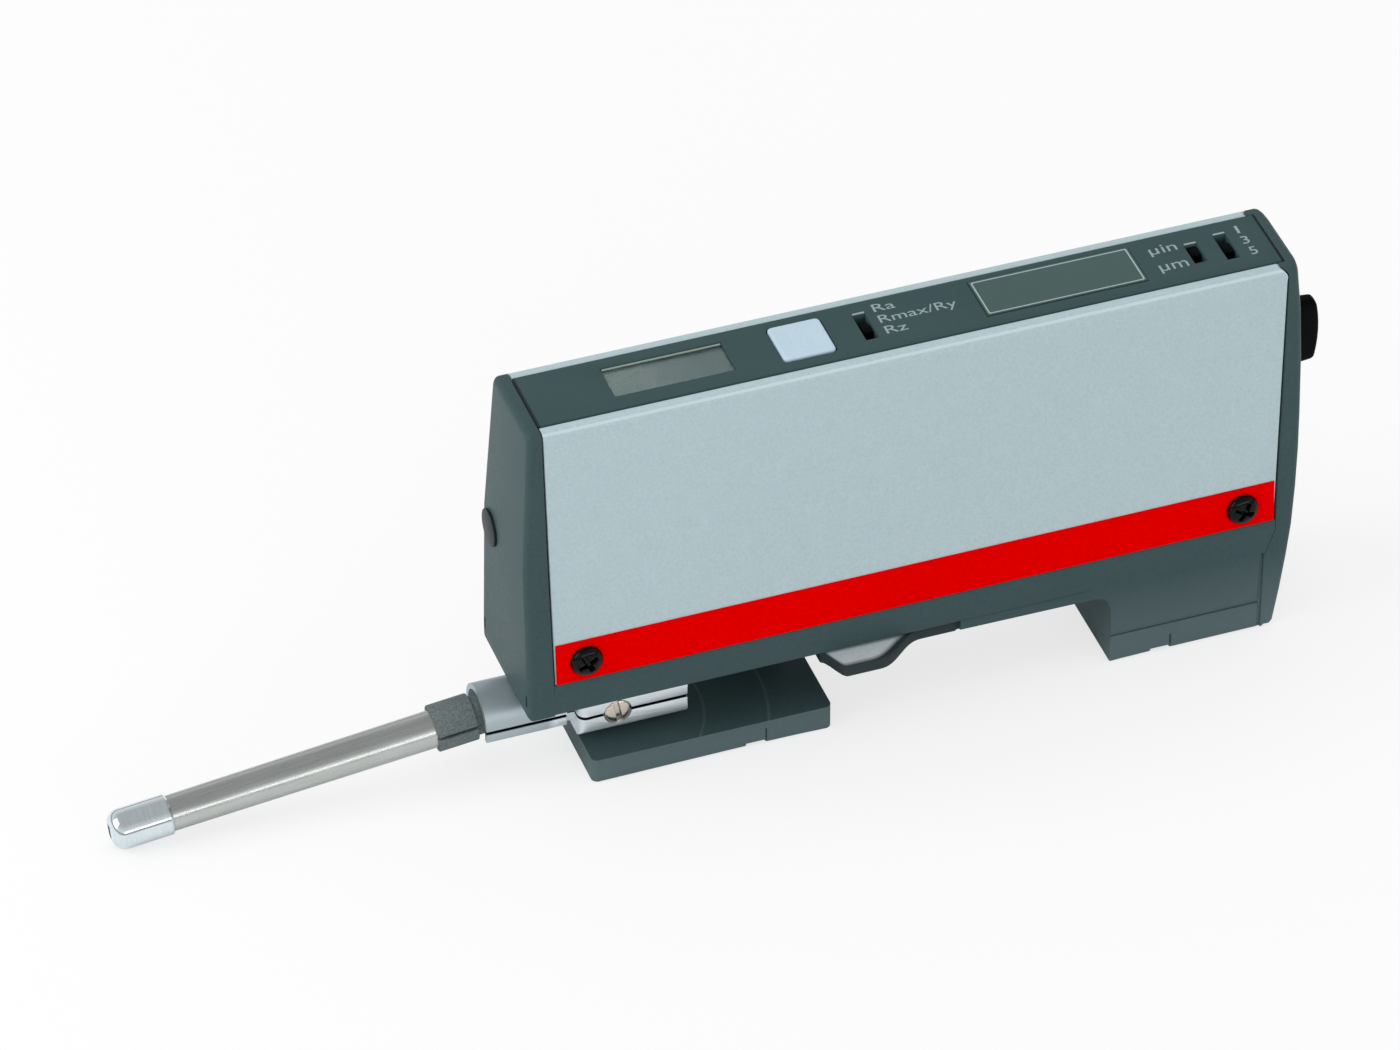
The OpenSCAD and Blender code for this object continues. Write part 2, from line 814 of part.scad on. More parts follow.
// Low domed heads with a cross recess
module cover_screws() {
  seat = stripe_t - cover_inset + press_fit;
  color("#15181a") at_front() both_sides() at_screws() {
    translate([0, 0, -cover_in - screw_l + seat_gap])
      cylinder(cover_in + screw_l + seat, screw_d / 2, screw_d / 2);
    difference() {
      translate([0, 0, seat])
        rotate_extrude()
          polygon(concat(
            [[0, 0], [screw_head_d / 2, 0]],
            arc([screw_head_d / 2 - screw_head_h * 0.6, screw_head_h * 0.4], screw_head_h * 0.6, 0, 90, 5),
            [[0, screw_head_h]]));
      for (a = [45, 135])
        rotate(a)
          translate([-screw_head_d * 0.3, -recess_w / 2, seat + screw_head_h * 0.4])
            cube([screw_head_d * 0.6, recess_w, screw_head_h]);
    }
  }
}

// Slot positions: place, length
function slots() = [[parameter_x, slot_l], [unit_x, short_slot_l], [length_x, slot_l]];

module top_panel() {
  x0 = front_in(panel_under) + seat_gap;
  x1 = rear_in(panel_under) - seat_gap;
  window = [window_x, window_y, 0];
  color("#455859") at_front() difference() {
    union() {
      box([x0, -panel_w / 2, panel_under], [x1, panel_w / 2, panel_z]);
      box([x0, -flange_half, panel_under], [x1, flange_half, panel_under + flange_t]);
    }
    translate(window + [-window_l / 2, -window_w / 2, panel_under + ledge_t])
      cube([window_l, window_w, panel_t]);
    translate(window + [window_ledge - window_l / 2, window_ledge - window_w / 2, panel_under - sink])
      cube([window_l - 2 * window_ledge, window_w - 2 * window_ledge, panel_t]);
    translate([button_x, button_y, panel_under - sink])
      slab(button_l + 2 * slide_gap, button_w + 2 * slide_gap, panel_t + 2 * sink, button_r + slide_gap);
    for (s = slots())
      box([s[0] - slot_w / 2, -s[1] / 2, panel_under - sink],
        [s[0] + slot_w / 2, s[1] / 2, panel_z + sink]);
    translate([badge_x - badge_l / 2, badge_y - badge_w / 2, panel_z + badge_up - badge_t])
      cube([badge_l, badge_w, panel_t]);
  }
}

module display_window() {
  gap = run_fit;
  color("#9aa5a3", 0.6) at_front()
    translate([window_x - window_l / 2 + gap, window_y - window_w / 2 + gap, panel_under + ledge_t])
      cube([window_l - 2 * gap, window_w - 2 * gap, panel_t - ledge_t - window_sunk]);
}

module display_module() {
  color("#8a948f") at_front()
    translate([window_x, window_y, top_board_top + run_fit])
      translate([-window_l / 2 - display_edge, -window_w / 2 - display_side, 0])
        cube([window_l + 2 * display_edge, window_w + 2 * display_side, part_top - top_board_top - run_fit]);
}

module badge_plate() {
  gap = run_fit;
  color("#45595a") at_front()
    translate([badge_x - badge_l / 2 + gap, badge_y - badge_w / 2 + gap, panel_z + badge_up - badge_t])
      cube([badge_l - 2 * gap, badge_w - 2 * gap, badge_t]);
}

module run_button() {
  under = panel_under - seat_gap;
  color("#b8cedc") at_front() translate([button_x, button_y, 0]) {
    translate([0, 0, under - button_flange])
      slab(button_l + button_lip_l, button_w + button_lip_w, button_flange, button_r);
    translate([0, 0, under - sink]) slab(button_l, button_w, panel_z + button_up - under + sink, button_r);
  }
}

module run_switch() {
  z = top_board_top + run_fit;
  stop = panel_under - seat_gap - button_flange - button_travel - switch_gap;
  color("#22262a") at_front() translate([button_x, button_y, z]) {
    translate([-run_switch_w / 2, -run_switch_w / 2, 0])
      cube([run_switch_w, run_switch_w, stop - z - plunger_h]);
    cylinder(stop - z, plunger_d / 2, plunger_d / 2);
  }
}

// Slide knob standing in its slot
module knob(x, y) {
  foot = part_top - channel_h + 2 * run_fit;
  translate([x - knob_w / 2, y - knob_l / 2, foot]) {
    cube([knob_w, knob_l, panel_z - knob_down - foot]);
  }
}

module parameter_knob() {
  color("#1b1f21") at_front() knob(parameter_x, 0);
}

module unit_knob() {
  color("#1b1f21") at_front() knob(unit_x, (short_slot_l - knob_l) / 2 - slide_gap);
}

module length_knob() {
  color("#1b1f21") at_front() knob(length_x, 0);
}

module slide_switches() {
  z = top_board_top + run_fit;
  color("#6f7678") at_front() for (s = slots())
    difference() {
      box([s[0] - switch_l / 2, -switch_w / 2, z], [s[0] + switch_l / 2, switch_w / 2, part_top]);
      box([s[0] - slot_w / 2, -s[1] / 2, part_top - channel_h],
        [s[0] + slot_w / 2, s[1] / 2, part_top + sink]);
    }
}

module top_board() {
  color("#2f6b4a") at_front()
    box([front_t + rib_l + top_board_front, -top_board_w / 2, top_board_z],
      [body_l - rear_t - rib_l + top_board_back, top_board_w / 2, top_board_top]);
}

module main_board() {
  color("#2f6b4a") at_front() translate([main_board_x, main_board_y, main_board_z])
    cube([main_board_l, board_t, main_board_h]);
}

// Chips on the main board: place, length and height as shares of the board
module board_chips() {
  z = main_board_z + main_board_h / 2;
  color("#202326") at_front()
    for (c = [[0.15, 0.1, 0.42], [0.33, 0.07, 0.42], [0.51, 0.12, 0.55], [0.71, 0.055, 0.32]])
      translate([main_board_x + c[0] * main_board_l, main_board_y - chip_t / 2 - run_fit, z])
        cube([c[1] * main_board_l, chip_t, c[2] * main_board_h], center = true);
}

module battery() {
  color("#3a3d42") at_front() {
    translate([battery_x, 0, door_top + battery_h / 2 + seat_gap]) rotate([0, 90, 0])
      slab(battery_h, battery_w, battery_l, battery_r);
    for (z = [-1, 1])
      translate([0, 0, door_top + battery_h / 2 + z * battery_h / 4])
        bar_x(battery_x - snap_l, battery_x + sink, snap_d);
  }
}

module battery_clip() {
  x = bulkhead_x + bulkhead_t + run_fit;
  color("#26292c") at_front()
    box([x, clip_edge - battery_w / 2, door_top + clip_low],
      [x + clip_t, battery_w / 2 - clip_edge, door_top + battery_h]);
}

// Plan of the finger tab: it rises quickly, runs level and falls slowly, both on half a cosine wave
function bulge(x) = x < tab_rise ? 0.5 - 0.5 * cos(180 * x / tab_rise)
  : x < tab_l - tab_fall ? 1
  : 0.5 - 0.5 * cos(180 * (tab_l - x) / tab_fall);

module battery_door() {
  half = door_half;
  x1 = rear_foot_x - foot_fillet - sink - hatch_gap;
  color("#46585a") at_front() translate([0, 0, door_top - door_t]) linear_extrude(door_t)
    polygon(concat(
      [[x1, half], [door_step_x, half], [door_step_x, door_broad], [tab_x, door_broad]],
      [for (i = [0:tab_n]) let (x = tab_l * i / tab_n) [tab_x + x, -door_broad - tab_out * bulge(x)]],
      [[door_step_x, -door_broad], [door_step_x, -half], [x1, -half]]));
}

module drive_motor() {
  x1 = bulkhead_x - gearbox_l - run_fit;
  color("#9aa1a5") at_front() translate([0, probe_y, motor_z]) {
    bar_x(x1 - motor_l, x1, motor_d);
    bar_x(x1 - motor_l - motor_nub, x1 - motor_l + sink, motor_d / 3);
  }
}

module drive_gearbox() {
  x0 = bulkhead_x - gearbox_l;
  x1 = bulkhead_x - run_fit;
  color("#5d666a") at_front() translate([0, probe_y, 0]) difference() {
    union() {
      box([x0, -gearbox_neck / 2, floor_top + seat_gap], [x1, gearbox_neck / 2, gearbox_top]);
      box([x0, -gearbox_w / 2, gearbox_step], [x1, gearbox_w / 2, gearbox_top]);
    }
    translate([0, 0, pull_z]) bar_x(x0 - sink, x1 + sink, pull_d + 2 * run_fit);
  }
}

module drive_rod() {
  x0 = swivel_x + carriage_l / 2;
  color("#c8ccce") at_front() translate([0, probe_y, pull_z]) bar_x(x0 - pull_sink, x0 + pull_l, pull_d);
}

module guide_rods() {
  color("#c8ccce") at_front() for (y = [-rod_reach, rod_reach])
    translate([0, probe_y + y, rod_z])
      bar_x(rod_in + seat_gap, bulkhead_x + rod_in - seat_gap, rod_d);
}

module carriage() {
  x0 = swivel_x - carriage_l / 2;
  color("#7d868a") at_front() translate([0, probe_y, 0]) difference() {
    box([x0, -carriage_w / 2, carriage_z], [x0 + carriage_l, carriage_w / 2, carriage_top]);
    for (y = [-rod_reach, rod_reach])
      translate([0, y, rod_z]) bar_x(x0 - sink, x0 + carriage_l + sink, rod_d + 2 * run_fit);
    translate([swivel_x, 0, carriage_z - sink])
      cylinder(carriage_h + 2 * sink, post_d / 2 + run_fit, post_d / 2 + run_fit);
    translate([0, 0, pull_z])
      bar_x(x0 + carriage_l - pull_sink - seat_gap, x0 + carriage_l + sink, pull_d + 2 * press_fit);
  }
}

module pivot_post() {
  shoulder = carriage_top + 2 * seat_gap;
  color("#aab0b3") at_front() translate([swivel_x, probe_y, 0]) {
    translate([0, 0, upper_z + seat_gap]) cylinder(shoulder - upper_z - seat_gap, post_d / 2, post_d / 2);
    translate([0, 0, shoulder - sink]) cylinder(washer_t + 2 * sink, post_top_d / 2, post_top_d / 2);
  }
}

module pivot_washer() {
  color("#8f969a") at_front() translate([swivel_x, probe_y, carriage_top + 2 * seat_gap]) difference() {
    cylinder(washer_t, washer_d / 2, washer_d / 2);
    translate([0, 0, -sink])
      cylinder(washer_t + 2 * sink, post_top_d / 2 + press_fit, post_top_d / 2 + press_fit);
  }
}

// Room for the clamp screw, shared by both halves of the holder
module clamp_bore() {
  translate([block_x + clamp_x, -block_w / 2, split_z]) rotate([-90, 0, 0]) {
    translate([0, 0, -sink])
      cylinder(clamp_head_h + sink, clamp_head_d / 2 + seat_gap, clamp_head_d / 2 + seat_gap);
    cylinder(clamp_l + seat_gap, clamp_d / 2 + run_fit, clamp_d / 2 + run_fit);
  }
}

// Block with round edges along its foot and round corners at its front end
module block(h) {
  half = block_w / 2;
  intersection() {
    along_x(block_x, block_x + block_l)
      polygon(concat(
        [[half, h], [-half, h]],
        arc([block_edge - half, block_edge], block_edge, 180, 270, 4),
        arc([half - block_edge, block_edge], block_edge, 270, 360, 4)));
    translate([block_x + (block_l + block_r) / 2, 0, -sink])
      slab(block_l + block_r, block_w, h + 2 * sink, block_r);
  }
}

// Upper half: a hood over the probe's pivot, a neck, and a block round the swivel post
module holder_upper() {
  color("#c9d0d4") at_front() translate([0, probe_y, 0]) difference() {
    union() {
      intersection() {
        translate([0, 0, split_z]) bar_x(-hood_out, hood_end, 2 * hood_r);
        box([-hood_out - sink, -hood_r - sink, upper_z], [hood_end + sink, hood_r + sink, floor_z]);
      }
      box([hood_end - sink, -neck_half, upper_z], [block_x + sink, neck_half, block_top]);
      translate([0, 0, block_top]) mirror([0, 0, 1]) block(block_top - upper_z);
    }
    translate([0, 0, split_z]) bar_x(-hood_out - sink, pitch_x + core_back + 1, 2 * (hood_r - hood_t));
    translate([pitch_x, -pitch_half, pitch_z]) rotate([-90, 0, 0])
      cylinder(2 * pitch_half, pitch_d / 2 + press_fit, pitch_d / 2 + press_fit);
    translate([swivel_x, 0, upper_z - sink])
      cylinder(block_h, post_d / 2 + press_fit, post_d / 2 + press_fit);
    clamp_bore();
  }
}

// Lower half: two rails under the hood, a neck, and the block's lower part with a seat rib
module holder_lower() {
  gap = hood_r - hood_t - rail_side;
  rail_z = lower_z - rail_drop + slit / 2;
  color("#c3cace") at_front() translate([0, probe_y, 0]) difference() {
    union() {
      for (s = [-1, 1])
        translate([0, s * (hood_r + gap) / 2, 0])
          box([-hood_out, (gap - hood_r) / 2, rail_z], [hood_end, (hood_r - gap) / 2, lower_z]);
      box([hood_end - rail_end, -hood_r, rail_z], [hood_end, hood_r, lower_z]);
      box([hood_end - sink, -neck_half, rail_z], [block_x + sink, neck_half, lower_z]);
      translate([0, 0, block_low]) block(lower_z - block_low);
      box([swivel_x + post_d / 2 + rib_gap, -rib_half, lower_z - sink],
        [block_x + block_l - rib_back, rib_half, upper_z]);
    }
    clamp_bore();
  }
}

module holder_screw() {
  color("#b9a06a") at_front()
    translate([block_x + clamp_x, probe_y - block_w / 2, split_z]) rotate([-90, 0, 0]) difference() {
      union() {
        translate([0, 0, -clamp_up]) cylinder(clamp_head_h + clamp_up, clamp_head_d / 2, clamp_head_d / 2);
        cylinder(clamp_l, clamp_d / 2, clamp_d / 2);
      }
      rotate(clamp_turn)
        translate([-clamp_head_d, -clamp_slot / 2, -sink])
          cube([2 * clamp_head_d, clamp_slot, sink + clamp_slot_h]);
    }
}

module pitch_pin() {
  color("#8d9498") at_front() translate([pitch_x, probe_y - pitch_half + seat_gap, pitch_z])
    rotate([-90, 0, 0]) cylinder(2 * (pitch_half - seat_gap), pitch_d / 2, pitch_d / 2);
}

module probe_shank() {
  color("#777e82") at_probe() difference() {
    translate([0, 0, -core_back]) cylinder(core_end + core_back, core_d / 2, core_d / 2);
    rotate([-90, 0, 0]) cylinder(2 * core_d, pitch_d / 2 + run_fit, pitch_d / 2 + run_fit, center = true);
  }
}

// Split collar with a slimmer neck that runs inside the hood
module probe_collar() {
  color("#5f6668") at_probe() difference() {
    union() {
      translate([0, 0, neck_at]) cylinder(collar_at - neck_at + sink, collar_neck_d / 2, collar_neck_d / 2);
      translate([0, 0, collar_at]) cylinder(collar_l, collar_d / 2, collar_d / 2);
    }
    translate([0, 0, neck_at - sink])
      cylinder(collar_end - neck_at + 2 * sink, core_d / 2 + run_fit, core_d / 2 + run_fit);
    for (a = [40, 160, 280])
      rotate(a)
        translate([core_d / 2 + slit_floor, -collar_slit / 2, collar_at - sink])
          cube([collar_d, collar_slit, collar_l + 2 * sink]);
  }
}

module probe_tube() {
  length = nose_at - collar_end;
  color("#a9a49c") at_probe() translate([0, 0, collar_end]) difference() {
    cylinder(length, tube_d / 2, tube_tip_d / 2);
    translate([0, 0, -sink]) cylinder(length + 2 * sink, tube_bore_d / 2, tube_bore_d / 2);
  }
}

// Turned nose with a rounded end, a spigot in the tube and a slot for the stylus
module probe_nose() {
  r = nose_d / 2;
  color("#cfd4d6") at_probe() translate([0, 0, nose_at]) difference() {
    union() {
      rotate_extrude()
        polygon(concat(
          [[0, 0], [r - nose_chamfer, 0], [r, nose_chamfer]],
          arc([r - nose_r, nose_l - nose_r], nose_r, 0, 90, 8),
          [[0, nose_l]]));
      translate([0, 0, -spigot_l]) cylinder(spigot_l + sink, core_d / 2, core_d / 2);
    }
    translate([-nose_d, -nose_slot / 2, nose_l - slot_deep])
      cube([nose_d + slot_top, nose_slot, slot_deep + sink]);
  }
}

// Stylus arm in the nose's slot, with its point just below the nose
module stylus() {
  reach = nose_d / 2 + stylus_out;
  color("#3c4043") at_probe() translate([0, 0, stylus_at]) {
    translate([stylus_cone - reach - seat_gap, -stylus_w / 2, -stylus_l / 2 + run_fit])
      cube([reach, stylus_w, stylus_l]);
    translate([-reach, 0, 0]) rotate([0, 90, 0]) cylinder(stylus_cone, stylus_tip_r, stylus_w / 2);
  }
}

module pickup_element() {
  color("#b58a4a") at_probe() translate([0, 0, nose_at - spigot_l - run_fit - pickup_l])
    cylinder(pickup_l, pickup_d / 2, pickup_d / 2);
}

// Upright button with a tapered skirt, a rounded end and a stem through the rear wall
module power_button() {
  edge = power_out - power_dome - power_swell;
  color("#101214") at_front() translate([body_l, 0, power_z]) {
    loft(concat(
      [for (x = [-power_sunk, 0]) [for (p = pill(0, power_side_n)) [x, p[0], p[1]]]],
      [for (i = [0:edge_n]) let (t = 90 * i / edge_n)
        [for (p = pill(power_taper + power_dome * (1 - cos(t)), power_side_n))
          [edge + power_dome * sin(t) + barrel(p[1]), p[0], p[1]]]]));
    bar_x(-power_stem_in, -power_sunk + seat_gap, power_stem_d);
  }
}

module power_switch() {
  x1 = body_l - rear_t - rib_l - switch_gap;
  color("#2a2e31") at_front()
    box([x1 - power_switch_l, -power_switch_half, power_z - power_switch_h / 2],
      [x1, main_board_y - run_fit, power_z + power_switch_h / 2]);
}

module calibration_plug() {
  color("#3b494b") at_front() translate([0, plug_y, plug_z]) {
    bar_x(-plug_up, 0, plug_d);
    bar_x(-plug_up / 2, plug_stub_l, plug_stub_d);
  }
}

housing();
near_cover();
far_cover();
near_stripe();
far_stripe();
cover_screws();
top_panel();
display_window();
display_module();
badge_plate();
run_button();
run_switch();
parameter_knob();
unit_knob();
length_knob();
slide_switches();
top_board();
main_board();
board_chips();
battery();
battery_clip();
battery_door();
drive_motor();
drive_gearbox();
drive_rod();
guide_rods();
carriage();
pivot_post();
pivot_washer();
holder_upper();
holder_lower();
holder_screw();
pitch_pin();
probe_shank();
probe_collar();
probe_tube();
probe_nose();
stylus();
pickup_element();
power_button();
power_switch();
calibration_plug();
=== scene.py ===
"""Looks of a pocket surface roughness tester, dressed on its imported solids.

Sizes are millimetres measured from the front end wall, as on a drawing of the
instrument: +X to the rear, +Y to the far side, +Z up. `to_frame` turns them into
the part's frame in metres.
"""

import logging
import math
from dataclasses import dataclass, replace
from enum import Enum
from typing import Any, Callable, Sequence

import bmesh
import bpy
import numpy as np
from mathutils import Matrix, Vector


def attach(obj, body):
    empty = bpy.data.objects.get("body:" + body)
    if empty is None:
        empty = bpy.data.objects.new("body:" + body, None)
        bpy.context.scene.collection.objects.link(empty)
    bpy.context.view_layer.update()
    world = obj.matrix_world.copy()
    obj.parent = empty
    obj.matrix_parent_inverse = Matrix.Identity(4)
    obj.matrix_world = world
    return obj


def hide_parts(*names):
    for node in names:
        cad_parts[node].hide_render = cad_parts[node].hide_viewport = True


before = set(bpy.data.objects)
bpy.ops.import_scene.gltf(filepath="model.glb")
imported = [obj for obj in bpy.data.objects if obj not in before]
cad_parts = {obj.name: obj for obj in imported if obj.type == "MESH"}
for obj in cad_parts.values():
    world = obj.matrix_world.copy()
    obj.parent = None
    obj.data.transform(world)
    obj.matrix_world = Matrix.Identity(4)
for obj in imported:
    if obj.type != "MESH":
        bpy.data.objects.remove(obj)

LOG = logging.getLogger("tester")
MM: float = 0.001
FRONT_X: float = -33.4
IMAGE_WIDTH: int = 1400
SENSOR_MM: float = 36.0
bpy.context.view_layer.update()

Array = np.ndarray
Colour = tuple[float, float, float, float]
Socket = bpy.types.NodeSocket
Tree = bpy.types.NodeTree
Triple = tuple[float, float, float]

ALONG: Triple = (1.0, 0.0, 0.0)
ACROSS: Triple = (0.0, 1.0, 0.0)
UP: Triple = (0.0, 0.0, 1.0)
ORIGIN: Triple = (0.0, 0.0, 0.0)
WHITE: Colour = (1.0, 1.0, 1.0, 1.0)

# Width in millimetres of a painted edge that looks cut.
CRISP: float = 0.001
# Grain is drawn out this far along and round the lines that a tool leaves.
LINES_ALONG: Triple = (0.04, 1.0, 1.0)
LINES_ROUND: Triple = (1.0, 0.06, 0.06)
# Most of a noise lies in the first range, and nearly all of it in the second.
NOISE_CORE: tuple[float, float] = (0.3, 0.7)
NOISE_SPAN: tuple[float, float] = (0.25, 0.75)
# Metres under which points of a CAD mesh, and of a new one, are one point, and an edge has no length.
CAD_WELD: float = 2e-6
WELD: float = 1e-7
NO_LENGTH: float = 1e-8
# Angles under which faces are one flat, and over which an edge is sharp.
FLAT_DEG: float = 0.4
SHARP_DEG: float = 40.0


class Body(Enum):
    """Bodies that the pieces ride on."""

    HOUSING = "housing_body"
    HOLDER = "holder_body"
    PROBE = "probe_body"
    RUN_KEY = "run_key"
    PARAMETER = "parameter_slider"
    UNIT = "unit_slider"
    LENGTH = "length_slider"
    POWER = "power_key"


class Lay(Enum):
    """How the fine lines of a worked surface run."""

    NONE = "none"
    ALONG_X = "along_x"
    ALONG_PROBE = "along_probe"
    ROUND_PROBE = "round_probe"


class Ramp(Enum):
    """How the edge of a mark fades in."""

    EVEN = "LINEAR"
    SOFT = "SMOOTHSTEP"


def linear(hex_colour: str) -> Colour:
    """Turns an sRGB hex value into linear light.

    Args:
        hex_colour: six hex digits.

    Returns:
        Linear red, green and blue with an alpha of one.
    """
    parts = np.array([int(hex_colour[i:i + 2], 16) for i in (0, 2, 4)]) / 255.0
    low = parts / 12.92
    high = ((parts + 0.055) / 1.055) ** 2.4
    r, g, b = np.where(parts <= 0.04045, low, high)
    return float(r), float(g), float(b), 1.0


def add(tree: Tree, kind: str, inputs: dict | None = None, **settings: Any) -> bpy.types.Node:
    """Adds one node, sets it up and links it.

    Args:
        tree: the node tree.
        kind: the node's type name.
        inputs: input names or numbers with a value, or a socket to link from.
        **settings: the node's own properties.

    Returns:
        The new node.
    """
    node = tree.nodes.new(kind)
    for key, value in settings.items():
        setattr(node, key, value)
    for key, value in (inputs or {}).items():
        if isinstance(value, Socket):
            tree.links.new(value, node.inputs[key])
        else:
            node.inputs[key].default_value = value
    return node


def to_frame(points: Array | Sequence[float]) -> Array:
    """Moves drawing points in millimetres into the part's frame in metres."""
    return (np.asarray(points, float) + (FRONT_X, 0.0, 0.0)) * MM


# Marks


@dataclass(frozen=True)
class Edge:
    """One edge of a mark, which fades in from none to full along a direction.

    Attributes:
        none: where the mark is gone, in millimetres along the direction.
        full: where it is complete.
        way: the direction.
        origin: drawing point that it is measured from.
        mirrored: whether both sides of the origin count alike.
        ramp: how it fades in.
    """

    none: float
    full: float
    way: Triple = UP
    origin: Triple = ORIGIN
    mirrored: bool = False
    ramp: Ramp = Ramp.EVEN

    def away(self, tree: Tree) -> Socket:
        """Gives the place on the drawing, measured from the origin.

        Args:
            tree: the node tree.

        Returns:
            The vector in millimetres.
        """
        coords = add(tree, "ShaderNodeTexCoord").outputs["Object"]
        x, y, z = self.origin
        return add(tree, "ShaderNodeMapping", {
            "Vector": coords, "Location": (-FRONT_X - x, -y, -z), "Scale": (1.0 / MM,) * 3}).outputs[0]

    def reading(self, tree: Tree) -> Socket:
        """Gives the distance from the origin along the direction.

        Args:
            tree: the node tree.

        Returns:
            The distance in millimetres.
        """
        along = add(tree, "ShaderNodeVectorMath", {
            0: self.away(tree), 1: self.way}, operation="DOT_PRODUCT").outputs["Value"]
        if self.mirrored:
            return add(tree, "ShaderNodeMath", {0: along}, operation="ABSOLUTE").outputs[0]
        return along

    def share(self, tree: Tree) -> Socket:
        """Gives how far the edge lets the mark show.

        Args:
            tree: the node tree.

        Returns:
            The share, from zero to one.
        """
        return add(tree, "ShaderNodeMapRange", {
            "Value": self.reading(tree), "From Min": self.none, "From Max": self.full},
            interpolation_type=self.ramp.value).outputs[0]


@dataclass(frozen=True)
class Ring(Edge):
    """An edge measured from a circle about the upright axis through the origin.

    Attributes:
        radius: the circle's radius.
    """

    radius: float = 0.0

    def reading(self, tree: Tree) -> Socket:
        """Gives the distance from the circle, inwards or outwards.

        Args:
            tree: the node tree.

        Returns:
            The distance in millimetres.
        """
        flat = add(tree, "ShaderNodeVectorMath", {
            0: self.away(tree), 1: (1.0, 1.0, 0.0)}, operation="MULTIPLY").outputs[0]
        length = add(tree, "ShaderNodeVectorMath", {0: flat}, operation="LENGTH").outputs["Value"]
        off = add(tree, "ShaderNodeMath", {0: length, 1: self.radius}, operation="SUBTRACT").outputs[0]
        return add(tree, "ShaderNodeMath", {0: off}, operation="ABSOLUTE").outputs[0]


@dataclass(frozen=True)
class Facing(Edge):
    """An edge set by the way the surface looks: one along the direction, minus one against it."""

    def reading(self, tree: Tree) -> Socket:
        """Gives the cosine between the face's normal and the direction."""
        normal = add(tree, "ShaderNodeNewGeometry").outputs["True Normal"]
        return add(tree, "ShaderNodeVectorMath", {
            0: normal, 1: self.way}, operation="DOT_PRODUCT").outputs["Value"]


@dataclass(frozen=True)
class Stored(Edge):
    """An edge that follows the piece's own attribute.

    Attributes:
        attribute: the attribute's name.
    """

    attribute: str = "highlight_fade"

    def reading(self, tree: Tree) -> Socket:
        """Gives the stored number."""
        return add(tree, "ShaderNodeAttribute", attribute_name=self.attribute).outputs["Fac"]


@dataclass(frozen=True)
class Mark:
    """A second colour over part of a surface.

    Attributes:
        colour: sRGB hex of the mark.
        edges: its edges; it shows as far as all of them let it.
        strength: its share where it is complete.
    """

    colour: str
    edges: tuple[Edge, ...]
    strength: float = 1.0

    def over(self, tree: Tree, below: Socket) -> Socket:
        """Lays the mark over a colour.

        Args:
            tree: the node tree.
            below: the colour under it.

        Returns:
            The colour with the mark.
        """
        share: float | Socket = self.strength
        for edge in self.edges:
            share = add(tree, "ShaderNodeMath", {
                0: edge.share(tree), 1: share}, operation="MULTIPLY").outputs[0]
        return add(tree, "ShaderNodeMix", {
            "Factor": share, "A": below, "B": linear(self.colour)}, data_type="RGBA").outputs["Result"]


# Finishes


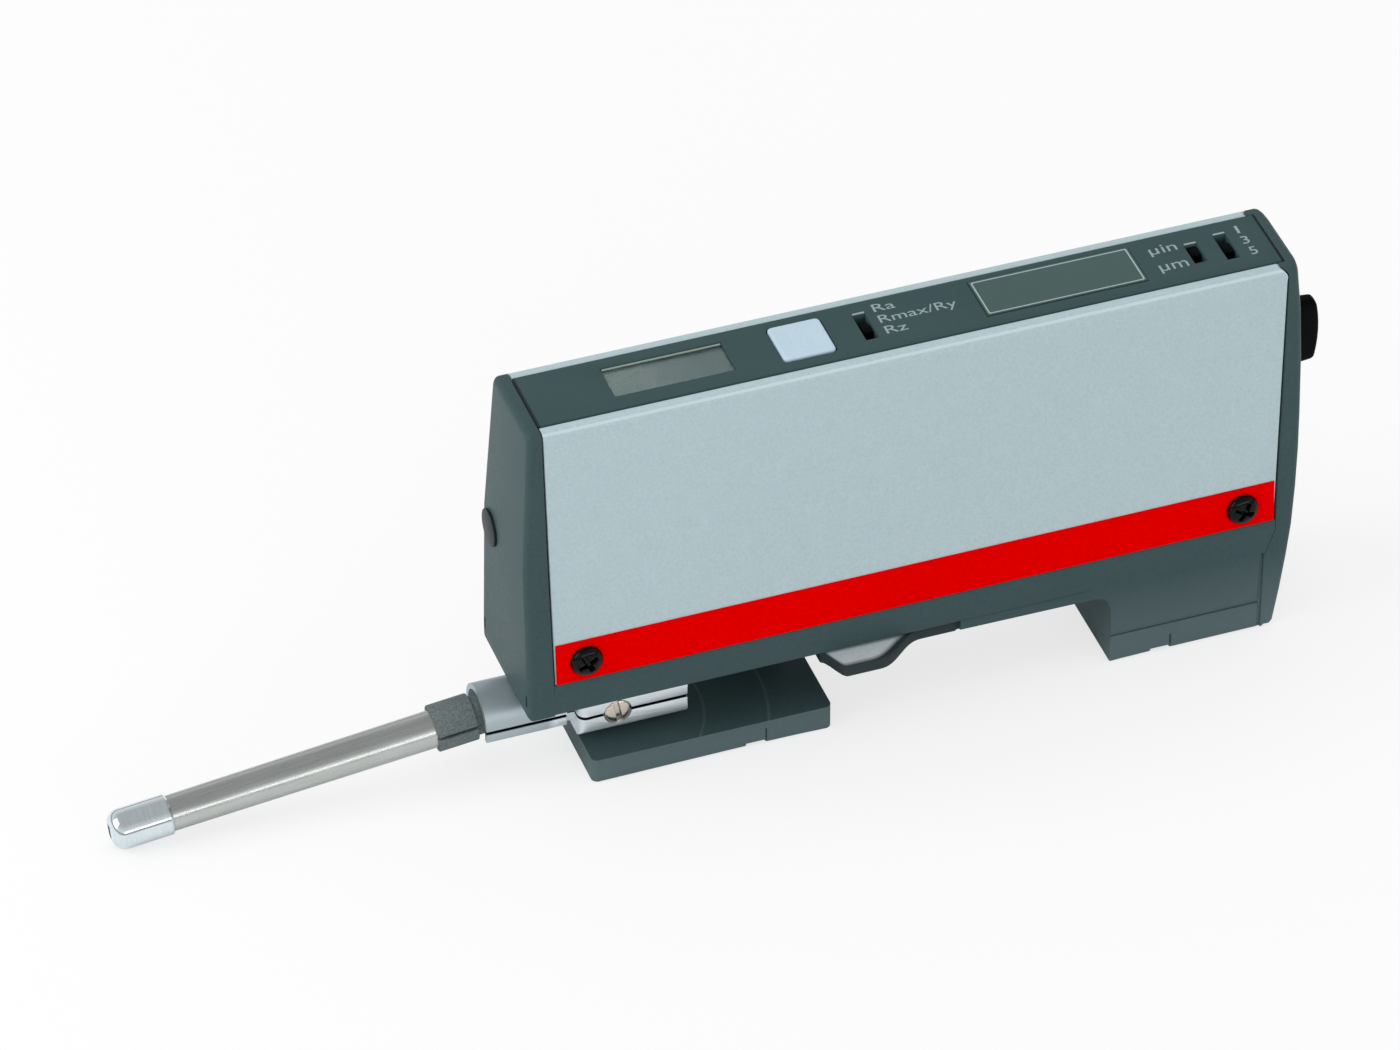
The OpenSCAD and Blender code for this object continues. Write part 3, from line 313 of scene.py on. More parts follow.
@dataclass(frozen=True)
class Finish:
    """One material of the instrument: what it is, its colour and how its surface was made.

    Attributes:
        name: common name of the material and its working.
        slot: the record's material slot; not used.
        colour: sRGB hex of the body colour.
        shade: sRGB hex that the colour drifts to in soft patches.
        roughness: middle roughness.
        metallic: one for bare metal.
        ior: refractive index of paint or plastic; a metal keeps the default.
        sheen: how strongly paint or plastic mirrors; half is a plain smooth surface.
        clear: one for a clear solid.
        patch_mm: width of the soft colour patches.
        grain_mm: width of the fine surface grain.
        grain: height of the grain in millimetres.
        spread: how far the roughness drifts with the grain.
        trace: how far the colour drifts with it.
        lay: direction of fine working lines.
        marks: other colours over parts of the surface.
    """

    name: str
    slot: str
    colour: str
    shade: str
    roughness: float
    metallic: float = 0.0
    ior: float = 1.5
    sheen: float = 0.5
    clear: float = 0.0
    patch_mm: float = 9.0
    grain_mm: float = 0.35
    grain: float = 0.012
    spread: float = 0.08
    trace: float = 0.07
    lay: Lay = Lay.NONE
    marks: tuple[Mark, ...] = ()

    def place(self, tree: Tree) -> Socket:
        """Gives Object coordinates, drawn out along the working lines of the surface.

        Args:
            tree: the node tree.

        Returns:
            The vector that the fine grain reads.
        """
        coords = add(tree, "ShaderNodeTexCoord").outputs["Object"]
        if self.lay is Lay.NONE:
            return coords
        if self.lay is not Lay.ALONG_X:
            turn = (0.0, math.radians(Probe.droop), 0.0)
            coords = add(tree, "ShaderNodeMapping", {"Vector": coords, "Rotation": turn}).outputs[0]
        scale = LINES_ROUND if self.lay is Lay.ROUND_PROBE else LINES_ALONG
        return add(tree, "ShaderNodeMapping", {"Vector": coords, "Scale": scale}).outputs[0]

    def tint(self, tree: Tree, grain: Socket) -> Socket:
        """Gives the colour: soft patches, a trace of the fine grain, then the marks.

        Args:
            tree: the node tree.
            grain: the fine grain, from zero to one.

        Returns:
            The colour socket.
        """
        coords = add(tree, "ShaderNodeTexCoord").outputs["Object"]
        patch = add(tree, "ShaderNodeTexNoise", {
            "Vector": coords, "Scale": 1.0 / (self.patch_mm * MM), "Detail": 3.0, "Roughness": 0.55})
        base = add(tree, "ShaderNodeMix", {
            "Factor": patch.outputs["Fac"], "A": linear(self.colour), "B": linear(self.shade)},
            data_type="RGBA")
        fine = add(tree, "ShaderNodeMapRange", {
            "Value": grain, "From Min": NOISE_CORE[0], "From Max": NOISE_CORE[1],
            "To Min": 1.0 - self.trace, "To Max": 1.0 + self.trace})
        colour = add(tree, "ShaderNodeVectorMath", {
            0: base.outputs["Result"], 1: fine.outputs[0]}, operation="MULTIPLY").outputs[0]
        for mark in self.marks:
            colour = mark.over(tree, colour)
        return colour

    def build(self) -> bpy.types.Material:
        """Makes the material.

        Returns:
            The material, ready to be put on a piece.
        """
        material = bpy.data.materials.new(self.name)
        material.use_nodes = True
        tree = material.node_tree
        shader = tree.nodes["Principled BSDF"]
        grain = add(tree, "ShaderNodeTexNoise", {
            "Vector": self.place(tree), "Scale": 1.0 / (self.grain_mm * MM), "Detail": 4.0,
            "Roughness": 0.6}).outputs["Fac"]
        rough = add(tree, "ShaderNodeMapRange", {
            "Value": grain, "From Min": NOISE_SPAN[0], "From Max": NOISE_SPAN[1],
            "To Min": max(0.02, self.roughness - self.spread),
            "To Max": min(1.0, self.roughness + self.spread)})
        bump = add(tree, "ShaderNodeBump", {
            "Height": grain, "Distance": self.grain * MM, "Strength": 1.0})
        tree.links.new(self.tint(tree, grain), shader.inputs["Base Color"])
        tree.links.new(rough.outputs[0], shader.inputs["Roughness"])
        tree.links.new(bump.outputs[0], shader.inputs["Normal"])
        shader.inputs["Metallic"].default_value = self.metallic
        shader.inputs["Transmission Weight"].default_value = self.clear
        if not self.metallic:
            shader.inputs["IOR"].default_value = self.ior
            shader.inputs["Specular IOR Level"].default_value = self.sheen
        return material


# A grain finer than 0.2 mm would be lost in a pixel, so the finest workings are drawn that coarse.

# Sprayed die-cast zinc: even satin paint, with the sandy pebble of spraying.
CASTING = Finish("sprayed_die_casting", "casting", "405456", "3B4F52", 0.45, sheen=0.11,
                 patch_mm=14.0, grain_mm=0.55, grain=0.03)
# Satin stoved enamel on sheet steel: pale, smooth, with a fine orange peel that mottles the light.
COVER = Finish("stoved_enamel", "cover_paint", "B5CACF", "B0C5CA", 0.36, sheen=0.4, patch_mm=3.0,
               grain_mm=0.5, grain=0.016)
# Cut vinyl film: flat and saturated, hardly glossy.
STRIPE = Finish("vinyl_film", "stripe_film", "EB0000", "E40000", 0.42, sheen=0.0, patch_mm=20.0,
                grain_mm=0.8, grain=0.003)
# Blacked steel screws: oiled black oxide, glossy on the dome.
BLACK_STEEL = Finish("blacked_steel", "screw_black", "050607", "08090B", 0.12, sheen=0.16,
                     grain_mm=0.25, grain=0.004)
# Moulded panel in the casting's colour: a touch flatter than the paint.
PANEL = Finish("moulded_panel", "panel", "3B5254", "384E50", 0.5, sheen=0.15, grain_mm=0.4,
               grain=0.015)
# Clear acrylic, bloomed against glare: softens what lies under it and mirrors little.
PANE = Finish("bloomed_acrylic", "pane", "FFFFFF", "FAFFFD", 0.2, ior=1.22, clear=1.0, grain_mm=6.0,
              grain=0.0005, spread=0.03)
# Liquid-crystal cell: an even grey-green polariser.
CELL = Finish("liquid_crystal_cell", "lcd", "6A7E7B", "647875", 0.3, grain_mm=0.4, grain=0.002)
# Painted highlight along the pane's far edge: a thin pale line standing for the light on the polished acrylic
# edge.
PANE_EDGE_HIGHLIGHT = Finish("pane_edge_highlight", "pane", "8C9B93", "84938B", 0.3, grain_mm=0.4, grain=0.002)
# Printed metal badge: dark green-grey ink under thin lacquer.
BADGE = Finish("printed_badge", "badge", "475F5C", "435A57", 0.4, sheen=0.2, grain_mm=0.3, grain=0.003)
# Silk-screened ink: flat pale lettering and lines.
INK = Finish("pale_ink", "key", "A9B9BA", "A1B1B2", 0.6, sheen=0.2, grain_mm=0.2, grain=0.004)
# The same ink on the panel, dulled by handling: letters a shade darker than the badge's line. It also paints
# the highlights at the switch slots' far ends.
PRINT_AND_GLINT = Finish("worn_ink_and_glint", "key", "9AABAC", "91A2A3", 0.6, sheen=0.2, grain_mm=0.2, grain=0.004)
# Moulded key cap: pale blue-grey, finely spark-eroded.
KEY = Finish("moulded_key", "key", "C1D8E6", "BBD2E0", 0.45, sheen=0.3, grain_mm=0.25, grain=0.008)
# Black ABS: deep black with a low, even sheen.
BLACK_ABS = Finish("black_abs", "black_plastic", "060708", "040506", 0.5, sheen=0.04, grain_mm=0.3,
                   grain=0.01)
# Solder mask on glass fibre: glossy green.
BOARD = Finish("solder_mask", "board", "2F6B4A", "2A6143", 0.35, grain_mm=0.6, grain=0.01)
# Moulded epoxy: dull near-black.
CHIP = Finish("moulded_epoxy", "chip", "202326", "1B1E21", 0.55, grain_mm=0.2, grain=0.008)
# Lacquered tin jacket of a battery: smooth dark grey.
JACKET = Finish("lacquered_tin", "cell", "3A3D42", "33363B", 0.3, grain_mm=0.5, grain=0.003)
# Moulded battery door: darker and duller than the casting beside it. It also coats a dark block that stands
# for the shadow at the door's step.
DOOR = Finish("moulded_door", "door", "303C3E", "2C3739", 0.5, sheen=0.12, grain_mm=0.35, grain=0.015)
# Painted highlight on the finger tab's top: a pale, smooth face standing for the light it catches.
TAB_HIGHLIGHT = Finish("tab_face_highlight", "door", "CFDBDF", "BFCBD0", 0.35, patch_mm=2.5, grain_mm=0.5, grain=0.02)
# Plain mild steel: soft grey metal without a polish.
PLAIN_STEEL = Finish("plain_steel", "motor_steel", "9AA1A5", "8F979B", 0.34, metallic=1.0,
                     grain_mm=0.25, grain=0.004)
# Ground steel rod: bright, with fine lines along it.
GROUND_STEEL = Finish("ground_steel", "bright_steel", "C8CCCE", "BEC3C6", 0.2, metallic=1.0,
                      grain_mm=0.2, grain=0.002, lay=Lay.ALONG_X)
# Machined aluminium: satin, with fine lines along the cut.
ALUMINIUM = Finish("machined_aluminium", "satin_aluminium", "EAF3F8", "DFE9EE", 0.42, metallic=0.68,
                   patch_mm=6.0, grain_mm=0.25, grain=0.0025, spread=0.06, lay=Lay.ALONG_X)
# Turned brass: warm yellow metal.
BRASS = Finish("turned_brass", "brass", "B79A6C", "A98B5C", 0.28, metallic=1.0, grain_mm=0.2, grain=0.003)
# Tinned brass: the clamp screw's pale, slightly warm metal.
TINNED = Finish("tinned_brass", "brass", "DCD4CA", "CFC5B9", 0.17, metallic=1.0, grain_mm=0.2, grain=0.003)
# Filled nylon collar: dark, coarse and dull.
COLLAR = Finish("filled_nylon", "collar", "838F8F", "3A4343", 0.75, sheen=0.2, patch_mm=0.4,
                grain_mm=0.42, grain=0.1, spread=0.15)
# Drawn stainless tube: warm grey with fine lines along its length.
TUBE = Finish("drawn_stainless", "stainless", "C4C9C8", "B9BCB8", 0.28, metallic=1.0, patch_mm=12.0,
              grain_mm=0.3, grain=0.002, spread=0.05, lay=Lay.ALONG_PROBE)
# Turned and nickelled nose: bright, with fine rings from the lathe.
NOSE = Finish("nickelled_steel", "nose_steel", "E0EAEF", "D8E3E8", 0.1, metallic=0.88, patch_mm=8.0,
              grain_mm=0.2, grain=0.0015, spread=0.04, lay=Lay.ROUND_PROBE)
# Moulded plug: darker than the casting that it closes.
PLUG = Finish("moulded_plug", "casting", "222D30", "1F292C", 0.45, sheen=0.15, grain_mm=0.3, grain=0.008)


class Paintbox:
    """Keeps one material for each finish, so that pieces share it."""

    def __init__(self) -> None:
        """Starts with no materials."""
        self.made: dict[str, bpy.types.Material] = {}

    def of(self, finish: Finish) -> bpy.types.Material:
        """Gives the finish's material, made at its first use.

        Args:
            finish: the finish.

        Returns:
            Its material.
        """
        if finish.name not in self.made:
            self.made[finish.name] = finish.build()
        return self.made[finish.name]

    def coat(self, piece: bpy.types.Object, finish: Finish) -> None:
        """Puts the finish on a piece as its only material.

        Args:
            piece: a mesh object.
            finish: the finish.
        """
        piece.data.materials.clear()
        piece.data.materials.append(self.of(finish))

    def coat_node(self, node: str, finish: Finish) -> None:
        """Puts the finish in a CAD node's material slots.

        Args:
            node: the node's name.
            finish: the finish.
        """
        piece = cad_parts[node]
        if not piece.material_slots:
            piece.data.materials.append(self.of(finish))
        for slot in piece.material_slots:
            slot.material = self.of(finish)


PAINT = Paintbox()


# Meshes


def grid_faces(rows: int, columns: int) -> Array:
    """Joins a grid of points into quads, row by row; each row runs round to its start.

    Args:
        rows: points along the first parameter.
        columns: points along the second.

    Returns:
        Quads as an (n, 4) array of point numbers.
    """
    i, j = np.meshgrid(np.arange(rows - 1), np.arange(columns), indexing="ij")
    k = (j + 1) % columns
    row, after = i * columns, (i + 1) * columns
    return np.stack([row + j, row + k, after + k, after + j], -1).reshape(-1, 4)


def points_of(mesh: bpy.types.Mesh) -> Array:
    """Reads a mesh's points.

    Args:
        mesh: the mesh.

    Returns:
        (n, 3) points.
    """
    flat = np.empty(len(mesh.vertices) * 3, np.float32)
    mesh.vertices.foreach_get("co", flat)
    return flat.reshape(-1, 3)


def tidy(mesh: bpy.types.Mesh, smooth_deg: float, outward: bool) -> None:
    """Welds seams and poles, turns faces outwards and smooths all but sharp edges.

    Args:
        mesh: the mesh.
        smooth_deg: edges flatter than this are shaded smooth.
        outward: whether the normals are worked out again.
    """
    work = bmesh.new()
    work.from_mesh(mesh)
    bmesh.ops.remove_doubles(work, verts=work.verts, dist=WELD)
    bmesh.ops.dissolve_degenerate(work, edges=work.edges, dist=NO_LENGTH)
    if outward:
        bmesh.ops.recalc_face_normals(work, faces=work.faces)
    work.to_mesh(mesh)
    work.free()
    mesh.polygons.foreach_set("use_smooth", np.ones(len(mesh.polygons), bool))
    mesh.set_sharp_from_angle(angle=math.radians(smooth_deg))
    mesh.update()


def piece_of(name: str, points: Array, faces: Array, finish: Finish, body: Body,
             stands_for: Sequence[str] = (), smooth_deg: float = 35.0) -> bpy.types.Object:
    """Makes a piece from drawing points in millimetres, and lets it ride on a body.

    Args:
        name: the piece's name.
        points: (n, 3) points in millimetres from the front end.
        faces: (m, 4) point numbers.
        finish: its finish.
        body: the body that carries it.
        stands_for: CAD nodes that it replaces.
        smooth_deg: edges flatter than this are shaded smooth.

    Returns:
        The new object.
    """
    mesh = bpy.data.meshes.new(name)
    mesh.from_pydata(to_frame(points).tolist(), [], faces.tolist())
    tidy(mesh, smooth_deg, True)
    return adopt(name, mesh, finish, body, stands_for)


def adopt(name: str, mesh: bpy.types.Mesh, finish: Finish, body: Body,
          stands_for: Sequence[str] = ()) -> bpy.types.Object:
    """Links a finished mesh as a piece, coats it and lets it ride on a body.

    Args:
        name: the piece's name.
        mesh: a mesh in the part's frame.
        finish: its finish.
        body: the body that carries it.
        stands_for: CAD nodes that it replaces.

    Returns:
        The new object.
    """
    piece = bpy.data.objects.new(name, mesh)
    bpy.context.scene.collection.objects.link(piece)
    PAINT.coat(piece, finish)
    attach(piece, body.value)
    if stands_for:
        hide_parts(*stands_for)
    LOG.info("%s: %d faces", name, len(mesh.polygons))
    return piece


def eased_copy(node: str, finish: Finish, body: Body, ease_mm: float = 0.0, reach_mm: float = 2.0,
               smooth_deg: float = 32.0) -> bpy.types.Object:
    """Replaces a CAD node by a merged copy of it whose long sharp edges are eased.

    Args:
        node: the node's name.
        finish: its finish.
        body: the body that carries it.
        ease_mm: width of the eased edge; zero leaves the edges sharp.
        reach_mm: only edges longer than this are eased.
        smooth_deg: edges flatter than this are shaded smooth.

    Returns:
        The new object.
    """
    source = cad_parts[node].data
    corners = np.empty(len(source.loops), np.int32)
    source.loops.foreach_get("vertex_index", corners)
    mesh = bpy.data.meshes.new(node + "_shell")
    mesh.from_pydata(points_of(source).tolist(), [], corners.reshape(-1, 3).tolist())
    work = bmesh.new()
    work.from_mesh(mesh)
    bmesh.ops.remove_doubles(work, verts=work.verts, dist=CAD_WELD)
    bmesh.ops.dissolve_limit(work, angle_limit=math.radians(FLAT_DEG), verts=work.verts, edges=work.edges)
    if ease_mm:
        sharp = [e for e in work.edges if len(e.link_faces) == 2 and e.calc_length() > reach_mm * MM
                 and e.calc_face_angle_signed(0.0) > math.radians(SHARP_DEG)]
        bmesh.ops.bevel(work, geom=sharp, offset=ease_mm * MM, offset_type="OFFSET", segments=2,
                        profile=0.5, affect="EDGES", clamp_overlap=False)
    work.to_mesh(mesh)
    work.free()
    tidy(mesh, smooth_deg, False)
    return adopt(node + "_shell", mesh, finish, body, (node,))


def smooth_step(width: float, value: Array) -> Array:
    """Rises from zero to one as value passes zero, over the given width."""
    t = np.clip(value / width + 0.5, 0.0, 1.0)
    return t * t * (3.0 - 2.0 * t)


def rounded_ring(length: float, width: float, radius: float, count: int) -> Array:
    """Plan outline of a block: a rectangle whose corners are quarter circles.

    Args:
        length: size along X.
        width: size along Y.
        radius: corner radius.
        count: points for each corner.

    Returns:
        (4 * count, 2) points, counter-clockwise.
    """
    turn = np.linspace(0.0, math.pi / 2.0, count)
    quarter = np.stack([np.cos(turn), np.sin(turn)], -1) * radius
    centre = np.array([length / 2.0 - radius, width / 2.0 - radius])
    one = quarter + centre
    two = np.stack([-quarter[::-1, 0], quarter[::-1, 1]], -1) + centre * (-1.0, 1.0)
    return np.concatenate([one, two, -one, -two])


def soft_block(centre: Sequence[float], size: Sequence[float], corner: float, ease: float,
               dish: float = 0.0) -> tuple[Array, Array]:
    """A block with rounded corners, an eased top edge and a slightly dished or crowned top.

    Each ring is the plan outline drawn in by d: d is zero up the sides, follows a quarter circle
    over the top edge, and then shrinks to the middle while the height falls by the dish.

    Args:
        centre: middle of the block's foot.
        size: length, width and height.
        corner: corner radius in plan.
        ease: radius of the top edge.
        dish: depth of the dish; negative for a crown.

    Returns:
        Points and quads.
    """
    edge_rings, corner_points, top_rings = 6, 7, 8
    length, width, height = size
    turn = np.linspace(0.0, math.pi / 2.0, edge_rings)
    inset = np.concatenate([[0.0, 0.0], ease * (1.0 - np.cos(turn))])
    level = np.concatenate([[0.0, (height - ease) / 2.0], height - ease + ease * np.sin(turn)])
    outline = rounded_ring(length, width, corner, corner_points)
    scale = 1.0 - 2.0 * inset[:, None] / np.array([length, width])
    rings = outline[None] * scale[:, None, :]
    shrink = np.linspace(1.0, 0.0, top_rings)[1:]
    top = rings[-1][None] * shrink[:, None, None]
    rings = np.concatenate([rings, top])
    level = np.concatenate([level, height - dish * (1.0 - shrink ** 2)])
    z = np.broadcast_to(level[:, None, None], rings.shape[:2] + (1,))
    foot = np.concatenate([np.zeros((1, len(outline), 2)), rings])
    z = np.concatenate([np.zeros((1, len(outline), 1)), z])
    points = np.concatenate([foot, z], -1) + np.asarray(centre, float)
    return points.reshape(-1, 3), grid_faces(len(points), len(outline))


def head_surface(radius: float, height: float, power: float, cut: Callable[[Array, Array], Array],
                 rows: int = 44, columns: int = 96) -> tuple[Array, Array]:
    """A screw head on a polar grid, closed by a flat seat.

    The height over the seat is a super-ellipse of the radius, less the depth of the driver's cut,
    and never less than a thin floor that runs out at the rim. A last ring at the middle of the seat
    closes it.

    Args:
        radius: the head's radius.
        height: the head's height.
        power: two for a round dome, more for a flatter one.
        cut: depth of the cut at points x, y.
        rows: rings of points.
        columns: points in a ring.

    Returns:
        Points with +Z outwards from the seat, and quads.
    """
    floor_share, floor_power = 0.05, 8
    share = np.sin(np.linspace(0.0, math.pi / 2.0, rows))
    around = np.linspace(0.0, 2.0 * math.pi, columns, endpoint=False)
    x = radius * share[:, None] * np.cos(around)
    y = radius * share[:, None] * np.sin(around)
    dome = height * (1.0 - share ** power) ** (1.0 / power)
    floor = floor_share * height * (1.0 - share ** floor_power)
    z = np.maximum(dome[:, None] - cut(x, y), floor[:, None])
    head = np.concatenate([np.stack([x, y, z], -1), np.zeros((1, columns, 3))])
    return head.reshape(-1, 3), grid_faces(rows + 1, columns)


def axes_to(points: Array, origin: Sequence[float], x: Sequence[float], y: Sequence[float],
            z: Sequence[float]) -> Array:
    """Carries points from a local frame, given by its origin and axes, to the drawing."""
    return np.asarray(points) @ np.array([x, y, z], float) + np.asarray(origin, float)


# Sub-assemblies


@dataclass
class Housing:
    """The die-cast frame with its feet, plug and battery door."""

    arcs: tuple[float, ...] = (20.4, 31.6)
    arc_edge: float = 0.1
    arc_gone: float = 0.35
    arc_share: float = 0.12
    plate_top: float = 5.4
    # Painted light: the sides grow paler towards the soles, standing for light thrown up from the floor; the
    # colour below is also that of the worn arcs.
    bounce_light: float = 0.22
    bounce_low: float = 2.0
    bounce_top: float = 17.0
    bare: str = "93A7AB"
    level: float = 0.9
    upright: float = 0.5
    tab_x: float = 53.3
    tab_rise: float = 3.3
    tab_crest: float = 4.4
    tab_fall: float = 10.2
    tab_out: float = 5.05
    # Colour of the painted shade at the tab's rim.
    tab_rim_shade: str = "303C3E"
    door_half: float = 11.44
    door_top: float = 16.7
    fade: float = 1.1
    pad: float = 0.03
    pad_taper: float = 0.3
    # Painted shade: place and size of a dark block in the door's finish that fills the gap at the door's
    # step, standing for the shadow there.
    joint: Triple = (78.9, -10.4, 14.7)
    shade_filler_size: Triple = (1.3, 2.0, 1.95)

    def build(self) -> None:
        """Makes the casting, plug and door."""
        eased_copy("housing", self.paint(), Body.HOUSING, ease_mm=0.4, reach_mm=5.0, smooth_deg=28.0)
        eased_copy("calibration_plug", PLUG, Body.HOUSING, ease_mm=0.12, reach_mm=0.05)
        eased_copy("battery_door", DOOR, Body.HOUSING, ease_mm=0.3, reach_mm=0.1)
        # A dark block stands for the shadow in the gap at the door's step.
        joint, faces = soft_block(self.joint, self.shade_filler_size, corner=0.2, ease=0.15)
        piece_of("door_shade_filler", joint, faces, DOOR, Body.HOUSING)
        self.tab_highlight()

    def paint(self) -> Finish:
        """Gives the paint: faint arcs on the foot plate, and painted light: sides paler towards the soles,
        standing for light thrown up from the floor.

        Returns:
            The casting's finish with its marks.
        """
        swivel = (Holder.swivel_x, Holder.middle_y, 0.0)
        low = Edge(self.plate_top, self.plate_top - CRISP)
        flat = Facing(self.level, self.level + CRISP)
        arcs = [Mark(self.bare, (Ring(self.arc_gone, self.arc_edge, origin=swivel, radius=r), low, flat),
                     self.arc_share) for r in self.arcs]
        # Painted light: upright faces paler towards the soles.
        side = Facing(self.upright, self.upright - CRISP)
        sides = Mark(self.bare, (Edge(self.bounce_top, self.bounce_low), side), self.bounce_light)
        return replace(CASTING, marks=(*arcs, sides))

    def tab_reach(self, along: Array) -> Array:
        """Gives how far the tab stands out from the door.

        The edge rises on half a cosine wave, runs level and falls on a longer half wave.

        Args:
            along: distances from the tab's front end.

        Returns:
            The tab's width at each.
        """
        length = self.tab_rise + self.tab_crest + self.tab_fall
        up = np.clip(along / self.tab_rise, 0.0, 1.0)
        down = np.clip((length - along) / self.tab_fall, 0.0, 1.0)
        return self.tab_out * (0.5 - 0.5 * np.cos(np.pi * np.minimum(up, down)))

    def tab_highlight(self) -> None:
        """Makes a painted highlight on the finger tab's top as a thin pale pad.

        Across the door the pad runs from the door's edge to the tab's edge and back underneath, and it
        thins to nothing where it ends. Over the last stretch before the edge the highlight fades into
        painted shade.
        """
        rows, columns = 81, 12
        along = np.linspace(0.0, self.tab_rise + self.tab_crest + self.tab_fall, rows)
        outer = self.tab_reach(along)
        share = np.concatenate([np.linspace(0.0, 1.0, columns - 2), [1.0, 0.0]])
        under = np.concatenate([np.zeros(columns - 2), [1.0, 1.0]])
        y = -(self.door_half + outer[:, None] * share)
        x = np.broadcast_to((self.tab_x + along)[:, None], y.shape)
        thick = self.pad * np.clip(outer / self.pad_taper, 0.0, 1.0)
        z = self.door_top + self.pad - thick[:, None] * under
        points = np.stack([x, y, z], -1).reshape(-1, 3)
        # Painted shade: near the tab's edge the pad darkens to the rim colour as the highlight fades.
        highlight_fade = replace(TAB_HIGHLIGHT, marks=(Mark(self.tab_rim_shade, (Stored(1.0, 0.0),)),))
        pad = piece_of("tab_highlight", points, grid_faces(rows, columns), highlight_fade, Body.HOUSING)
        self.fade_highlight(pad.data)

    def fade_highlight(self, mesh: bpy.types.Mesh) -> None:
        """Stores how far each point of the pad lies in from the tab's edge, as a share of the highlight's
        fade.

        Args:
            mesh: the pad, in the part's frame.
        """
        place = points_of(mesh) / MM
        outer = self.tab_reach(place[:, 0] - FRONT_X - self.tab_x)
        inside = np.clip((outer + self.door_half + place[:, 1]) / self.fade, 0.0, 1.0)
        layer = mesh.attributes.new("highlight_fade", "FLOAT", "POINT")
        layer.data.foreach_set("value", inside.astype(np.float32))


@dataclass
class Covers:
    """The folded side covers, their stripes and screws."""

    body_l: float = 142.0
    fold_z: float = 76.05
    fold_h: float = 0.5
    fold_y: float = 8.7
    # Painted highlight: colour and strength of a paler line along each cover's fold.
    pale: str = "DDEBEF"
    fold_highlight_share: float = 0.45
    screw_front: float = 10.5
    screw_rear: float = 10.7
    screw_z: float = 27.9
    half_foot: float = 12.5
    half_top: float = 9.25
    shoulder_z: float = 21.5
    top_z: float = 76.4
    head_d: float = 5.8
    head_h: float = 1.6
    head_up: float = 0.1
    dome: float = 2.6
    arm: float = 1.75
    arm_w: float = 0.8
    arm_wall: float = 0.3
    cut_deep: float = 0.95
    spin: float = 28.0
    spin_step: float = 34.0

    def build(self) -> None:
        """Makes covers, stripes and screws."""
        for side in ("near", "far"):
            eased_copy(side + "_cover", self.enamel(), Body.HOUSING, ease_mm=0.3, reach_mm=20.0,
                       smooth_deg=30.0)
            PAINT.coat_node(side + "_stripe", STRIPE)
        self.screws()

    def enamel(self) -> Finish:
        """Gives the enamel, with a painted highlight: a paler line along the fold at a cover's top.

        Returns:
            The cover's finish with its painted highlight line.
        """
        half = self.fold_h / 2.0
        line = Edge(half, half - CRISP, UP, (0.0, 0.0, self.fold_z), mirrored=True)
        outer = Edge(self.fold_y, self.fold_y + CRISP, ACROSS, mirrored=True)
        return replace(COVER, marks=(Mark(self.pale, (line, outer), self.fold_highlight_share),))

    def cross(self, x: Array, y: Array) -> Array:
        """Gives the depth of a cross recess: two crossed arms with a level floor and sloping walls.

        Args:
            x: places along the first arm.
            y: places along the second.

        Returns:
            The depth at each place.
        """
        def arm(along: Array, across: Array) -> Array:
            """Share of the full depth in one arm."""
            inside = smooth_step(self.arm_wall, self.arm_w / 2.0 - np.abs(across))
            return inside * smooth_step(self.arm_wall, self.arm - np.abs(along))
        return self.cut_deep * np.maximum(arm(x, y), arm(y, x))

    def screws(self) -> None:
        """Makes the four screw heads, each square to its sloping cover."""
        local, faces = head_surface(self.head_d / 2.0, self.head_h, self.dome, self.cross)
        slope = (self.half_foot - self.half_top) / (self.top_z - self.shoulder_z)
        half_at_screw = self.half_foot - slope * (self.screw_z - self.shoulder_z)
        tilt = math.atan(slope)
        points, quads = [], []
        for side in (-1.0, 1.0):
            for n, x in enumerate((self.screw_front, self.body_l - self.screw_rear)):
                out = np.array([0.0, side * math.cos(tilt), math.sin(tilt)])
                spin = math.radians(self.spin + self.spin_step * n)
                flat = np.array([math.cos(spin), 0.0, math.sin(spin)])
                flat -= out * flat.dot(out)
                flat /= np.linalg.norm(flat)
                seat = np.array([x, side * half_at_screw, self.screw_z]) + self.head_up * out
                quads.append(faces + sum(len(p) for p in points))
                points.append(axes_to(local, seat, flat, np.cross(out, flat), out))
        piece_of("cover_screw_heads", np.concatenate(points), np.concatenate(quads), BLACK_STEEL,
                 Body.HOUSING, ("cover_screws",), smooth_deg=60.0)


